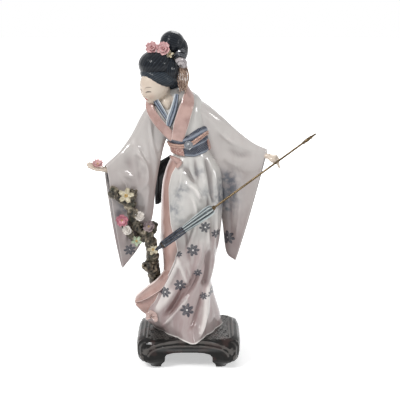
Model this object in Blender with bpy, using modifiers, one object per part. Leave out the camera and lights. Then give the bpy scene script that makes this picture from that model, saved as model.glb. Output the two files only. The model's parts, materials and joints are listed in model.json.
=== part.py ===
"""Porcelain geisha figurine on a dark carved stand.

The robed figure leans in a gentle S over a low stand, with one long sleeve held out on
each side. Her right hand offers a blossom over a flowering branch, and her left hand
holds the brass shaft of a closed parasol that crosses the skirt. The porcelain pieces
were moulded or rolled by hand one at a time and then joined, so each is its own object.

Axes: +X is the viewer's right, -Y is towards the viewer, +Z is up. The origin is at the
level of the stand's feet, below the middle of the whole figurine's width and depth. The
pieces are modelled about the middle of the stand and moved there last. All sizes are in
metres. Left and right in the names are the figure's own.
"""

import math

import bmesh
import bpy
from mathutils import Matrix, Vector
from mathutils.bvhtree import BVHTree

# Gap that separate pieces keep where one is seated on another
SEAT_GAP = 0.00035

# Points closer than this are made one after a Boolean
SLIVER = 0.00002

# Stand
STAND_WIDTH = 0.1170
STAND_DEPTH = 0.0800
STAND_HEIGHT = 0.0370
STAND_PLATE = 0.0060
STAND_WALL = 0.0085
STAND_FOOT_PAD = 0.0120
STAND_FOOT_INNER = (STAND_WIDTH / 2 - 0.0285, STAND_DEPTH / 2 - 0.0240)
STAND_BEAD_RADIUS = 0.0014
STAND_BAND_RADIUS = 0.0017
STAND_COVE = 0.0055
STAND_COVE_REACH = STAND_WIDTH / 2 - 0.0125
STAND_COVE_FADE = 0.0160
STAND_ARCH_HALF = STAND_WIDTH / 2 - 0.0270

# Robe
HEM_LEVEL = 0.0345
ROBE_WALL = 0.0050
HOLLOW_TOP = 0.2150
HEM_FREE_HEIGHT = 0.0920
SLEEVE_WALL = 0.0016
CUFF_DEPTH = 0.0120
COLLAR_WIDTH = 0.0135
COLLAR_THICKNESS = 0.0026
OBI_THICKNESS = 0.0022
OBI_CORD_RADIUS = 0.0017
BROOCH_RADIUS = 0.0048
TRAIN_THICKNESS = 0.0042

# Obi bow on her back
BOW_LEVEL = 0.2140
BOW_WIDTH = 0.0860
BOW_HEIGHT = 0.0500
BOW_THICKNESS = 0.0130
BOW_TAIL_LENGTH = 0.0680
BOW_TAIL_WIDTH = 0.0200

# Head and hair
HEAD_WIDTH = 0.0290
HEAD_DEPTH = 0.0340
HEAD_LENGTH = 0.0400
HEAD_CLEARANCE = 0.0007

# Hands
WRIST_RADIUS = 0.0031
WRIST_SOCKET_DEPTH = 0.0060
FINGER_RADIUS = 0.0016
HAND_LENGTH = 0.0250

# Branch and flowers
TRUNK_RADIUS = 0.0062
LIMB_RADIUS = 0.0046
STUB_BORE = 0.0030
PETAL_THICKNESS = 0.0013

# Parasol
SHAFT_RADIUS = 0.0011
SHAFT_CLEARANCE = 0.00035
CANOPY_LENGTH = 0.0763
CANOPY_RADIUS = 0.0060
CANOPY_RIBS = 8
CANOPY_BORE_DEPTH = 0.0120
HANDLE_LENGTH = 0.0170
HANDLE_RADIUS = 0.0019

# Stand's outline: share of its height, and how far its ends and its long sides lie in
STAND_PROFILE = (
    (0.0, 0.0185, 0.0075), (0.045, 0.0150, 0.0050), (0.12, 0.0130, 0.0042),
    (0.19, 0.0088, 0.0035), (0.26, 0.0045, 0.0022), (0.36, 0.0015, 0.0008),
    (0.50, 0.0002, 0.0), (0.64, 0.0001, 0.0), (0.78, 0.0, 0.0),
    (0.89, 0.0012, 0.0010), (0.96, 0.0036, 0.0030), (1.0, 0.0068, 0.0055),
)

# Half of the arch between the front feet, from the floor up to the middle, as distance in
# from the foot and height, and how the narrower arch between the side feet is scaled from it
ARCH_PROFILE = (
    (0.0000, 0.0000), (0.0013, 0.0055), (0.0045, 0.0092), (0.0053, 0.0125), (0.0045, 0.0155),
    (0.0073, 0.0192), (0.0145, 0.0212), (0.0230, 0.0218),
)
SIDE_ARCH_SHARE = (0.55, 0.75)

FRONT = Vector((0.0, -1.0, 0.0))
BACK = Vector((0.0, 1.0, 0.0))
UP = Vector((0.0, 0.0, 1.0))

# Robe sections from the hem to the neck: height, middle x, middle y, half width,
# depth to the front, depth to the back, and lean of the section in degrees
ROBE_SECTIONS = (
    (0.0345, -0.0030, 0.0000, 0.0385, 0.0290, 0.0270, 0.0),
    (0.0450, -0.0035, 0.0000, 0.0385, 0.0285, 0.0260, 0.0),
    (0.0580, -0.0025, 0.0000, 0.0360, 0.0275, 0.0250, 0.0),
    (0.0740, -0.0025, 0.0005, 0.0300, 0.0265, 0.0240, 0.0),
    (0.0920, -0.0020, 0.0010, 0.0275, 0.0255, 0.0230, 0.0),
    (0.1120, 0.0002, 0.0010, 0.0285, 0.0255, 0.0230, 0.0),
    (0.1400, 0.0020, 0.0010, 0.0322, 0.0260, 0.0240, 0.0),
    (0.1650, 0.0032, 0.0010, 0.0338, 0.0260, 0.0240, 0.0),
    (0.1880, 0.0042, 0.0010, 0.0336, 0.0260, 0.0240, 0.0),
    (0.2090, 0.0050, 0.0010, 0.0325, 0.0250, 0.0235, 0.0),
    (0.2220, 0.0052, 0.0010, 0.0298, 0.0230, 0.0215, 0.0),
    (0.2320, 0.0050, 0.0000, 0.0250, 0.0205, 0.0190, 0.0),
    (0.2420, 0.0037, 0.0000, 0.0202, 0.0180, 0.0165, 2.0),
    (0.2540, 0.0008, 0.0000, 0.0198, 0.0172, 0.0158, 4.0),
    (0.2660, -0.0030, 0.0000, 0.0215, 0.0178, 0.0160, 6.0),
    (0.2780, -0.0080, 0.0000, 0.0255, 0.0185, 0.0165, 9.0),
    (0.2880, -0.0120, 0.0010, 0.0285, 0.0175, 0.0165, 12.0),
    (0.2960, -0.0152, 0.0020, 0.0262, 0.0150, 0.0155, 14.0),
    (0.3020, -0.0175, 0.0030, 0.0205, 0.0125, 0.0135, 15.0),
    (0.3065, -0.0188, 0.0035, 0.0142, 0.0105, 0.0115, 15.0),
    (0.3090, -0.0195, 0.0040, 0.0095, 0.0090, 0.0095, 15.0),
)
ROBE_ROUNDS = 48
ROBE_TURN = math.radians(11.2)
ROBE_RINGS_BETWEEN = 2

# Folds of the skirt: side, height, width to the left, width to the right, and the line
# of the crest as (x, z). A negative height is a crease.
SKIRT_FOLDS = (
    (FRONT, -0.0017, 0.0024, 0.0024, ((0.0065, 0.240), (0.0090, 0.230), (0.0120, 0.212))),
    (FRONT, -0.0019, 0.0025, 0.0025, ((0.0180, 0.240), (0.0232, 0.220), (0.0262, 0.188))),
    (FRONT, 0.0015, 0.0034, 0.0034, ((0.0125, 0.240), (0.0160, 0.225), (0.0190, 0.205))),
    (FRONT, -0.0021, 0.0030, 0.0030, ((-0.0067, 0.232), (0.0100, 0.209), (0.0175, 0.194))),
    (FRONT, 0.0024, 0.0042, 0.0034, ((-0.0060, 0.214), (0.0070, 0.208), (0.0165, 0.192))),
    (FRONT, 0.0020, 0.0028, 0.0028, ((0.0020, 0.203), (0.0070, 0.190), (0.0120, 0.170))),
    (FRONT, 0.0018, 0.0028, 0.0028, ((0.0140, 0.167), (0.0205, 0.156), (0.0215, 0.136))),
    (FRONT, 0.0022, 0.0011, 0.0130,
     ((-0.0080, 0.236), (-0.0200, 0.206), (-0.0183, 0.166), (-0.0110, 0.136),
      (-0.0200, 0.108), (-0.0355, 0.075), (-0.0430, 0.062))),
    (FRONT, -0.0025, 0.0028, 0.0028, ((0.0145, 0.114), (0.0075, 0.095), (-0.0060, 0.077))),
    (FRONT, -0.0026, 0.0032, 0.0032, ((0.0240, 0.138), (0.0196, 0.112), (0.0160, 0.088))),
    (FRONT, -0.0026, 0.0030, 0.0030, ((-0.0030, 0.097), (-0.0180, 0.072), (-0.0290, 0.057))),
    (FRONT, 0.0017, 0.0028, 0.0028, ((-0.0130, 0.138), (-0.0045, 0.108), (0.0020, 0.091))),
    (FRONT, 0.0018, 0.0028, 0.0028, ((-0.0070, 0.128), (-0.0200, 0.098), (-0.0290, 0.083))),
    (FRONT, 0.0022, 0.0050, 0.0050, ((-0.0120, 0.096), (-0.0240, 0.077), (-0.0360, 0.060))),
    (FRONT, 0.0021, 0.0036, 0.0036, ((0.0180, 0.100), (0.0200, 0.065), (0.0110, 0.036))),
    (FRONT, 0.0013, 0.0030, 0.0030, ((0.0290, 0.225), (0.0310, 0.180), (0.0270, 0.120))),
    (BACK, 0.0022, 0.0045, 0.0045, ((-0.0120, 0.200), (-0.0160, 0.120), (-0.0260, 0.040))),
    (BACK, -0.0020, 0.0035, 0.0035, ((-0.0040, 0.205), (-0.0070, 0.120), (-0.0140, 0.040))),
    (BACK, 0.0024, 0.0045, 0.0045, ((0.0040, 0.205), (0.0020, 0.120), (-0.0040, 0.036))),
    (BACK, -0.0020, 0.0035, 0.0035, ((0.0120, 0.205), (0.0100, 0.120), (0.0090, 0.040))),
    (BACK, 0.0022, 0.0045, 0.0045, ((0.0200, 0.200), (0.0190, 0.120), (0.0230, 0.040))),
)
FOLD_FADE = 0.0140

# Reach of the skirt at the hem and just above it, by angle in degrees from the front
# towards the viewer's right, taken from the hem's middle
HEM_OUTLINES = (
    (0.0345, ((-150, 0.0335), (-121, 0.0385), (-100, 0.0370), (-64, 0.0262), (-17, 0.0292),
              (3, 0.0410), (11, 0.0485), (25, 0.0385), (46, 0.0322), (81, 0.0335),
              (106, 0.0442), (144, 0.0390), (180, 0.0340))),
    (0.0500, ((-150, 0.0300), (-121, 0.0350), (-95, 0.0410), (-74, 0.0470), (-40, 0.0315),
              (-10, 0.0300), (11, 0.0380), (30, 0.0310), (80, 0.0335), (104, 0.0405),
              (144, 0.0350), (180, 0.0300))),
    (0.0610, ((-150, 0.0285), (-121, 0.0320), (-98, 0.0370), (-66, 0.0462), (-38, 0.0325),
              (-10, 0.0285), (11, 0.0320), (40, 0.0285), (80, 0.0315), (103, 0.0360),
              (144, 0.0310), (180, 0.0280))),
    (0.0750, ((-150, 0.0260), (-120, 0.0280), (-95, 0.0310), (-60, 0.0385), (-34, 0.0300),
              (-10, 0.0275), (11, 0.0285), (45, 0.0280), (80, 0.0300), (103, 0.0320),
              (144, 0.0285), (180, 0.0255))),
)

# Sleeve stations from the shoulder to the cuff: top edge, bottom edge, half thickness
# round the arm, half thickness of the hanging bag, and how far the middle bows sideways
RIGHT_SLEEVE = (
    ((-0.0290, 0.0000, 0.2990), (-0.0200, 0.0000, 0.2650), 0.0130, 0.0100, 0.0),
    ((-0.0450, -0.0030, 0.2885), (-0.0270, -0.0020, 0.2440), 0.0130, 0.0095, 0.0),
    ((-0.0600, -0.0080, 0.2620), (-0.0350, -0.0060, 0.2060), 0.0112, 0.0070, 0.0),
    ((-0.0700, -0.0140, 0.2480), (-0.0405, -0.0100, 0.1660), 0.0100, 0.0060, 0.0),
    ((-0.0790, -0.0190, 0.2395), (-0.0550, -0.0130, 0.1360), 0.0096, 0.0056, -0.0010),
    ((-0.0868, -0.0230, 0.2330), (-0.0725, -0.0150, 0.1130), 0.0092, 0.0052, -0.0018),
)
LEFT_SLEEVE = (
    ((0.0010, 0.0010, 0.3030), (0.0040, 0.0000, 0.2650), 0.0140, 0.0110, 0.0),
    ((0.0190, 0.0010, 0.2940), (0.0170, 0.0040, 0.2440), 0.0140, 0.0100, 0.0),
    ((0.0370, 0.0010, 0.2790), (0.0330, 0.0090, 0.1960), 0.0116, 0.0072, 0.0),
    ((0.0520, -0.0020, 0.2655), (0.0385, 0.0100, 0.1560), 0.0102, 0.0060, 0.0),
    ((0.0690, -0.0080, 0.2535), (0.0428, 0.0080, 0.1235), 0.0096, 0.0056, 0.0),
    ((0.0842, -0.0120, 0.2470), (0.0525, 0.0060, 0.1140), 0.0092, 0.0052, -0.0010),
)
SLEEVE_ROUNDS = 18
SLEEVE_RINGS_BETWEEN = 3
SLEEVE_FOLDS = (
    (FRONT, 0.0020, 0.0030, 0.0045, ((-0.0600, 0.257), (-0.0500, 0.238), (-0.0510, 0.219))),
    (FRONT, 0.0014, 0.0026, 0.0026, ((-0.0750, 0.226), (-0.0640, 0.220), (-0.0550, 0.215))),
    (FRONT, -0.0014, 0.0050, 0.0050, ((-0.0640, 0.246), (-0.0620, 0.232), (-0.0580, 0.224))),
    (FRONT, 0.0012, 0.0040, 0.0040, ((-0.0450, 0.262), (-0.0420, 0.220), (-0.0470, 0.170))),
    (FRONT, -0.0012, 0.0040, 0.0040, ((-0.0560, 0.210), (-0.0600, 0.170), (-0.0640, 0.130))),
    (FRONT, 0.0016, 0.0035, 0.0035, ((0.0300, 0.270), (0.0440, 0.256), (0.0540, 0.250))),
    (FRONT, -0.0013, 0.0035, 0.0035, ((0.0400, 0.246), (0.0560, 0.240), (0.0700, 0.243))),
    (FRONT, 0.0013, 0.0035, 0.0035, ((0.0360, 0.236), (0.0520, 0.230), (0.0680, 0.236))),
    (FRONT, -0.0012, 0.0040, 0.0040, ((0.0420, 0.222), (0.0460, 0.180), (0.0480, 0.140))),
    (FRONT, 0.0014, 0.0045, 0.0045, ((0.0540, 0.215), (0.0540, 0.180), (0.0530, 0.140))),
    (BACK, 0.0016, 0.0050, 0.0050, ((-0.0500, 0.260), (-0.0520, 0.200), (-0.0620, 0.140))),
    (BACK, -0.0014, 0.0045, 0.0045, ((-0.0600, 0.240), (-0.0640, 0.190), (-0.0680, 0.135))),
    (BACK, 0.0016, 0.0050, 0.0050, ((0.0420, 0.250), (0.0460, 0.200), (0.0460, 0.140))),
    (BACK, -0.0014, 0.0045, 0.0045, ((0.0560, 0.240), (0.0560, 0.190), (0.0520, 0.140))),
)

# The lining that swirls out behind the front panel: rows from the skirt to the free
# edge, each running from its upper edge to its lower edge
TRAIN_ROWS = (
    ((-0.0240, -0.0100, 0.1080), (-0.0230, -0.0110, 0.0900), (-0.0230, -0.0120, 0.0680)),
    ((-0.0335, -0.0080, 0.0930), (-0.0330, -0.0150, 0.0780), (-0.0330, -0.0120, 0.0580)),
    ((-0.0460, -0.0060, 0.0830), (-0.0460, -0.0150, 0.0720), (-0.0430, -0.0120, 0.0560)),
    ((-0.0565, -0.0070, 0.0750), (-0.0560, -0.0130, 0.0680), (-0.0500, -0.0130, 0.0580)),
)

# Pink collar, from the obi up her left side, round the back of the neck and down her
# right side: points on the collar's middle line, and the way each faces
COLLAR_LINE = (
    ((-0.0105, -0.0200, 0.2600), (0.05, -1.0, 0.1)),
    ((-0.0075, -0.0205, 0.2740), (0.05, -1.0, 0.15)),
    ((-0.0052, -0.0195, 0.2870), (0.15, -1.0, 0.30)),
    ((-0.0024, -0.0150, 0.2990), (0.40, -0.8, 0.50)),
    ((-0.0008, -0.0050, 0.3085), (0.90, -0.2, 0.60)),
    ((-0.0035, 0.0080, 0.3120), (0.70, 0.7, 0.50)),
    ((-0.0170, 0.0165, 0.3110), (0.00, 1.0, 0.45)),
    ((-0.0330, 0.0100, 0.3060), (-0.75, 0.7, 0.45)),
    ((-0.0385, -0.0020, 0.3010), (-0.90, -0.2, 0.60)),
    ((-0.0370, -0.0120, 0.2930), (-0.45, -0.8, 0.50)),
    ((-0.0295, -0.0185, 0.2810), (-0.20, -1.0, 0.25)),
    ((-0.0205, -0.0195, 0.2690), (-0.10, -1.0, 0.10)),
    ((-0.0160, -0.0185, 0.2610), (-0.05, -1.0, 0.10)),
)

# Collar of the robe worn underneath, which shows as a narrow V round the bare chest
INNER_COLLAR_WALL = 0.0038
INNER_COLLAR_DROP = 0.0070

# Obi bands on the waist: height at her right and left side, width, and how proud it is
OBI_BANDS = (
    (0.2460, 0.2490, 0.0150, OBI_THICKNESS),
    (0.2570, 0.2640, 0.0080, OBI_THICKNESS * 1.35),
)
OBI_CORD_LEVEL = 0.2520
BROOCH_PLACE = (0.0010, 0.2545)

# Head: middle, the way the face looks, and the way the crown points
HEAD_MIDDLE = Vector((-0.0345, -0.0075, 0.3145))
HEAD_FACING = Vector((-0.62, -0.70, -0.30))
HEAD_CROWN = Vector((-0.08, -0.26, 1.0))

# Neck and chest sections from the point of the V up: middle, half width, half depth
NECK_SECTIONS = (
    ((-0.0205, -0.0110, 0.2895), 0.0022, 0.0035),
    ((-0.0210, -0.0085, 0.2940), 0.0066, 0.0072),
    ((-0.0218, -0.0060, 0.2990), 0.0092, 0.0092),
    ((-0.0230, -0.0035, 0.3035), 0.0084, 0.0088),
    ((-0.0245, -0.0020, 0.3070), 0.0072, 0.0078),
    ((-0.0275, -0.0020, 0.3160), 0.0070, 0.0076),
)

# Hair masses: middle from the head's middle, half sizes, and tilt in degrees
HAIR_MASSES = (
    ((0.0015, 0.0035, 0.0222), (0.0186, 0.0190, 0.0150), 6.0),
    ((0.0040, 0.0015, 0.0100), (0.0196, 0.0182, 0.0112), -14.0),
    ((0.0135, 0.0035, 0.0150), (0.0106, 0.0150, 0.0150), 0.0),
    ((0.0165, 0.0120, 0.0020), (0.0095, 0.0090, 0.0100), 0.0),
    ((0.0182, 0.0165, 0.0418), (0.0132, 0.0128, 0.0138), 0.0),
    ((0.0262, 0.0180, 0.0350), (0.0090, 0.0110, 0.0132), 0.0),
    ((0.0150, 0.0130, 0.0285), (0.0085, 0.0090, 0.0100), 0.0),
)

# Flowers: name, place as (x, z), radius, petals, the mass it sits on and its colour
BRANCH_FLOWERS = (
    ("cream_star_blossom", -0.0653, 0.2010, 0.0078, 5, "cream"),
    ("white_rose_upper", -0.0518, 0.1775, 0.0046, 6, "white"),
    ("white_rose_lower", -0.0650, 0.1625, 0.0046, 6, "white"),
    ("pink_branch_blossom", -0.0705, 0.1730, 0.0060, 5, "pink"),
    ("green_star_blossom", -0.0558, 0.1490, 0.0052, 5, "sage"),
    ("mauve_blossom", -0.0420, 0.1640, 0.0058, 5, "mauve"),
    ("cream_trunk_blossom", -0.0385, 0.1355, 0.0056, 5, "cream"),
)

# Branch limbs: line, radius at each end
TRUNK_LINE = (
    (-0.0300, 0.0200, 0.0345), (-0.0330, 0.0160, 0.0620), (-0.0370, 0.0090, 0.0860),
    (-0.0400, 0.0010, 0.1080), (-0.0395, -0.0090, 0.1300), (-0.0430, -0.0160, 0.1500),
    (-0.0490, -0.0210, 0.1640),
)
LIMB_LINES = (
    ("main", ((-0.0470, -0.0200, 0.1530), (-0.0560, -0.0245, 0.1650), (-0.0590, -0.0270, 0.1800),
              (-0.0645, -0.0280, 0.1935), (-0.0740, -0.0290, 0.2000), (-0.0822, -0.0300, 0.2062)),
     1.05, 1.05, True),
    ("upper", ((-0.0600, -0.0270, 0.1870), (-0.0600, -0.0255, 0.1960), (-0.0583, -0.0245, 0.2050)),
     0.85, 0.80, True),
    ("lower", ((-0.0430, -0.0180, 0.1500), (-0.0560, -0.0240, 0.1490), (-0.0640, -0.0270, 0.1580),
               (-0.0705, -0.0280, 0.1690)),
     0.90, 0.55, False),
    ("right", ((-0.0430, -0.0150, 0.1480), (-0.0400, -0.0140, 0.1570), (-0.0362, -0.0110, 0.1640)),
     1.00, 0.80, False),
    ("foot", ((-0.0400, -0.0010, 0.1050), (-0.0440, -0.0090, 0.1120), (-0.0470, -0.0150, 0.1155)),
     1.10, 1.00, True),
)

# Hands: wrist, the way the hand points, and the way the palm faces
RIGHT_HAND = (
    Vector((-0.0845, -0.0215, 0.2265)), Vector((-0.90, -0.38, 0.28)), Vector((0.25, -0.35, 0.90)),
)
LEFT_HAND = (
    Vector((0.0815, -0.0125, 0.2405)), Vector((0.88, -0.45, -0.10)), Vector((-0.05, 0.45, -0.89)),
)

# Parasol: where the shaft crosses the palm, and the way it runs to the handle
GRIP_POINT = Vector((0.0975, -0.0240, 0.2385))
SHAFT_DIRECTION = Vector((0.804, 0.076, 0.589))
GRIP_TO_CANOPY = 0.0881
GRIP_TO_END = 0.0465

COLOURS = {
    "robe_glaze": ((0.72, 0.70, 0.68), 0.16, 0.0),
    "skin_glaze": ((0.80, 0.68, 0.58), 0.25, 0.0),
    "hair_glaze": ((0.012, 0.015, 0.020), 0.10, 0.0),
    "bow_glaze": ((0.008, 0.008, 0.012), 0.15, 0.0),
    "bark_glaze": ((0.16, 0.13, 0.08), 0.45, 0.0),
    "cream": ((0.80, 0.74, 0.52), 0.35, 0.0),
    "white": ((0.86, 0.84, 0.80), 0.35, 0.0),
    "pink": ((0.75, 0.32, 0.36), 0.35, 0.0),
    "sage": ((0.50, 0.58, 0.42), 0.35, 0.0),
    "mauve": ((0.42, 0.34, 0.35), 0.35, 0.0),
    "tassel_glaze": ((0.60, 0.42, 0.33), 0.35, 0.0),
    "parasol_glaze": ((0.16, 0.22, 0.27), 0.20, 0.0),
    "brass": ((0.42, 0.28, 0.12), 0.28, 1.0),
    "stand_glaze": ((0.030, 0.026, 0.024), 0.18, 0.0),
}


def clear_scene():
    """Empties the file and makes the two collections."""
    for obj in list(bpy.data.objects):
        bpy.data.objects.remove(obj)
    made = []
    for name in ("Geisha figurine", "Cutters"):
        collection = bpy.data.collections.new(name)
        bpy.context.scene.collection.children.link(collection)
        made.append(collection)
    return made


PARTS, CUTTERS = clear_scene()


def material(name):
    """The glaze or metal of that name, made once."""
    found = bpy.data.materials.get(name)
    if found:
        return found
    colour, roughness, metallic = COLOURS[name]
    made = bpy.data.materials.new(name)
    made.use_nodes = True
    shader = made.node_tree.nodes["Principled BSDF"]
    shader.inputs["Base Color"].default_value = (*colour, 1.0)
    shader.inputs["Roughness"].default_value = roughness
    shader.inputs["Metallic"].default_value = metallic
    return made


def add_object(name, bm, finish=None):
    """A mesh object from a bmesh, in the parts if it has a finish and else a cutter."""
    bmesh.ops.recalc_face_normals(bm, faces=bm.faces)
    mesh = bpy.data.meshes.new(name)
    bm.to_mesh(mesh)
    bm.free()
    obj = bpy.data.objects.new(name, mesh)
    if finish:
        PARTS.objects.link(obj)
        mesh.materials.append(material(finish))
    else:
        CUTTERS.objects.link(obj)
        obj.hide_render = True
        obj.display_type = "WIRE"
    return obj


def finish_part(obj, crease_angle=math.radians(50.0)):
    """Shades a part smooth, with its real creases kept."""
    obj.data.shade_smooth()
    obj.data.set_sharp_from_angle(angle=crease_angle)
    return obj


def smooth_step(t):
    t = min(max(t, 0.0), 1.0)
    return t * t * (3.0 - 2.0 * t)


def catmull_rom(points, steps):
    """Points on a smooth curve through the given vectors, with that many steps a span."""
    rows = [Vector(p) for p in points]
    ends = [rows[0] * 2 - rows[1]] + rows + [rows[-1] * 2 - rows[-2]]
    curve = []
    for i in range(1, len(ends) - 2):
        a, b, c, d = ends[i - 1], ends[i], ends[i + 1], ends[i + 2]
        for k in range(steps):
            t = k / steps
            curve.append(0.5 * (2 * b + (c - a) * t + (2 * a - 5 * b + 4 * c - d) * t * t
                                + (3 * b - a - 3 * c + d) * t ** 3))
    return curve + [rows[-1]]


def loft(name, rings, finish=None):
    """A closed solid through rings of as many points each, with flat ends."""
    bm = bmesh.new()
    rows = [[bm.verts.new(p) for p in ring] for ring in rings]
    count = len(rows[0])
    for low, high in zip(rows, rows[1:]):
        for i in range(count):
            j = (i + 1) % count
            bm.faces.new((low[i], low[j], high[j], high[i]))
    bm.faces.new(rows[0])
    bm.faces.new(rows[-1])
    bmesh.ops.triangulate(bm, faces=[f for f in bm.faces if len(f.verts) > 4])
    return add_object(name, bm, finish)


def frames_along(points):
    """Unit tangent and two cross directions at each point, turning as little as possible."""
    tangents = [(points[min(i + 1, len(points) - 1)] - points[max(i - 1, 0)]).normalized()
                for i in range(len(points))]
    side = tangents[0].orthogonal().normalized()
    frames = []
    for tangent in tangents:
        side = (side - tangent * side.dot(tangent)).normalized()
        frames.append((tangent, side, tangent.cross(side)))
    return frames


def tube(name, points, radii, sides, finish=None, rounded=False, phase=0.0):
    """A solid round bar along the points. Rounded ends close in two short steps."""
    frames = frames_along(points)
    stops = [(p, f, r) for p, f, r in zip(points, frames, radii)]
    if rounded:
        first, last = stops[0], stops[-1]
        head = [(first[0] - first[1][0] * first[2] * k, first[1], first[2] * r)
                for k, r in ((0.9, 0.35), (0.55, 0.80))]
        tail = [(last[0] + last[1][0] * last[2] * k, last[1], last[2] * r)
                for k, r in ((0.55, 0.80), (0.9, 0.35))]
        stops = head + stops + tail
    rings = []
    for place, (_, side, other), radius in stops:
        rings.append([place + radius * (math.cos(a) * side + math.sin(a) * other)
                      for a in (phase + 2 * math.pi * k / sides for k in range(sides))])
    return loft(name, rings, finish)


def ellipsoid(name, middle, half_sizes, finish=None, around=14, rows=9, turn=None):
    """A stretched sphere, turned by a 3x3 matrix about its middle."""
    bm = bmesh.new()
    bmesh.ops.create_uvsphere(bm, u_segments=around, v_segments=rows, radius=1.0)
    bmesh.ops.scale(bm, vec=half_sizes, verts=bm.verts)
    if turn:
        bmesh.ops.rotate(bm, cent=(0, 0, 0), matrix=turn, verts=bm.verts)
    bmesh.ops.translate(bm, vec=middle, verts=bm.verts)
    return add_object(name, bm, finish)


def combine(target, others, operation):
    """Applies one Boolean of all the other objects to the target, and removes them."""
    tools = bpy.data.collections.new("Boolean tools")
    for other in others:
        tools.objects.link(other)
    modifier = target.modifiers.new(operation.title(), "BOOLEAN")
    modifier.operation = operation
    modifier.solver = "EXACT"
    modifier.operand_type = "COLLECTION"
    modifier.collection = tools
    bpy.context.view_layer.update()
    graph = bpy.context.evaluated_depsgraph_get()
    mesh = bpy.data.meshes.new_from_object(target.evaluated_get(graph))
    bm = bmesh.new()
    bm.from_mesh(mesh)
    bmesh.ops.remove_doubles(bm, verts=bm.verts, dist=SLIVER)
    bmesh.ops.dissolve_degenerate(bm, edges=bm.edges, dist=SLIVER)
    bm.to_mesh(mesh)
    bm.free()
    finishes = list(target.data.materials)
    target.modifiers.clear()
    target.data = mesh
    mesh.materials.clear()
    for finish in finishes:
        mesh.materials.append(finish)
    mesh.polygons.foreach_set("material_index", [0] * len(mesh.polygons))
    for other in others:
        bpy.data.objects.remove(other)
    bpy.data.collections.remove(tools)
    return target


def drop_crumbs(obj):
    """Keeps the object's largest body, without the crumbs a Boolean cut loose."""
    bm = bmesh.new()
    bm.from_mesh(obj.data)
    left = set(bm.faces)
    bodies = []
    while left:
        body, edge = set(), [left.pop()]
        while edge:
            face = edge.pop()
            body.add(face)
            near = {other for e in face.edges for other in e.link_faces} & left
            left -= near
            edge += near
        bodies.append(body)
    bodies.sort(key=len)
    for body in bodies[:-1]:
        bmesh.ops.delete(bm, geom=list(body), context="FACES")
    bm.to_mesh(obj.data)
    bm.free()
    return obj


def surface_of(obj):
    """A search tree of the object's faces, in world space."""
    bm = bmesh.new()
    bm.from_mesh(obj.data)
    bm.transform(obj.matrix_world)
    tree = BVHTree.FromBMesh(bm)
    bm.free()
    return tree


def seat_on(piece, carrier, direction):
    """Moves the piece along the direction until it stands off the carrier by the gap."""
    direction = Vector(direction).normalized()
    far = 0.2
    bpy.context.view_layer.update()
    carrier_tree, piece_tree = surface_of(carrier), surface_of(piece)
    travel = far
    for vertex in piece.data.vertices:
        hit = carrier_tree.ray_cast(piece.matrix_world @ vertex.co, direction, far)
        if hit[0] is not None:
            travel = min(travel, hit[3])
    for vertex in carrier.data.vertices:
        hit = piece_tree.ray_cast(carrier.matrix_world @ vertex.co, -direction, far)
        if hit[0] is not None:
            travel = min(travel, hit[3])
    piece.data.transform(Matrix.Translation(direction * (travel - SEAT_GAP)))
    return piece


def fold_offset(folds, point, facing):
    """How far the folds push the surface out at a point whose outside faces that way."""
    total = 0.0
    for side, height, left, right, line in folds:
        weight = smooth_step(0.5 + 1.4 * facing.dot(side))
        if weight <= 0.0:
            continue
        best, signed, along = 1.0, 0.0, 0.0
        run = 0.0
        for (x0, z0), (x1, z1) in zip(line, line[1:]):
            length = math.hypot(x1 - x0, z1 - z0)
            t = ((point.x - x0) * (x1 - x0) + (point.z - z0) * (z1 - z0)) / length ** 2
            t = min(max(t, 0.0), 1.0)
            dx, dz = point.x - x0 - t * (x1 - x0), point.z - z0 - t * (z1 - z0)
            distance = math.hypot(dx, dz)
            if distance < best:
                best, along = distance, run + t * length
                signed = distance if dx > 0 else -distance
            run += length
        width = right if signed > 0 else left
        ends = smooth_step(min(along, run - along) / FOLD_FADE + 0.15)
        total += weight * ends * height * math.exp(-((best / width) ** 2))
    return total


def robe_section(height):
    """The robe's section values at a height, read smoothly between the named sections."""
    rows = ROBE_SECTIONS
    if height <= rows[0][0]:
        return rows[0]
    for k in range(len(rows) - 1):
        if height <= rows[k + 1][0]:
            t = (height - rows[k][0]) / (rows[k + 1][0] - rows[k][0])
            before, after = rows[max(k - 1, 0)], rows[min(k + 2, len(rows) - 1)]
            values = []
            for a, b, c, d in zip(before, rows[k], rows[k + 1], after):
                values.append(0.5 * (2 * b + (c - a) * t + (2 * a - 5 * b + 4 * c - d) * t * t
                                     + (3 * b - a - 3 * c + d) * t ** 3))
            values[0] = height
            return tuple(values)
    return rows[-1]


def outline_reach(outline, degrees):
    """Reach of a hem outline at an angle, softened a little at its corners."""
    total = 0.0
    for offset, share in ((-5.0, 0.25), (0.0, 0.5), (5.0, 0.25)):
        turned = (degrees + offset + 180.0) % 360.0 - 180.0
        before = outline[-1][0] - 360.0, outline[-1][1]
        for after in (*outline, (outline[0][0] + 360.0, outline[0][1])):
            if turned <= after[0]:
                t = (turned - before[0]) / (after[0] - before[0])
                total += share * (before[1] + (after[1] - before[1]) * t)
                break
            before = after
    return total


def hem_reach(angle, height, plain):
    """Reach of the skirt where the hem spreads, blended into the plain section above."""
    if height >= HEM_FREE_HEIGHT:
        return plain
    degrees = math.degrees(angle)
    rows = [(level, outline_reach(outline, degrees)) for level, outline in HEM_OUTLINES]
    rows.append((HEM_FREE_HEIGHT, plain))
    for (low, a), (high, b) in zip(rows, rows[1:]):
        if height <= high:
            t = max(0.0, (height - low) / (high - low))
            return a + (b - a) * t
    return plain


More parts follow.
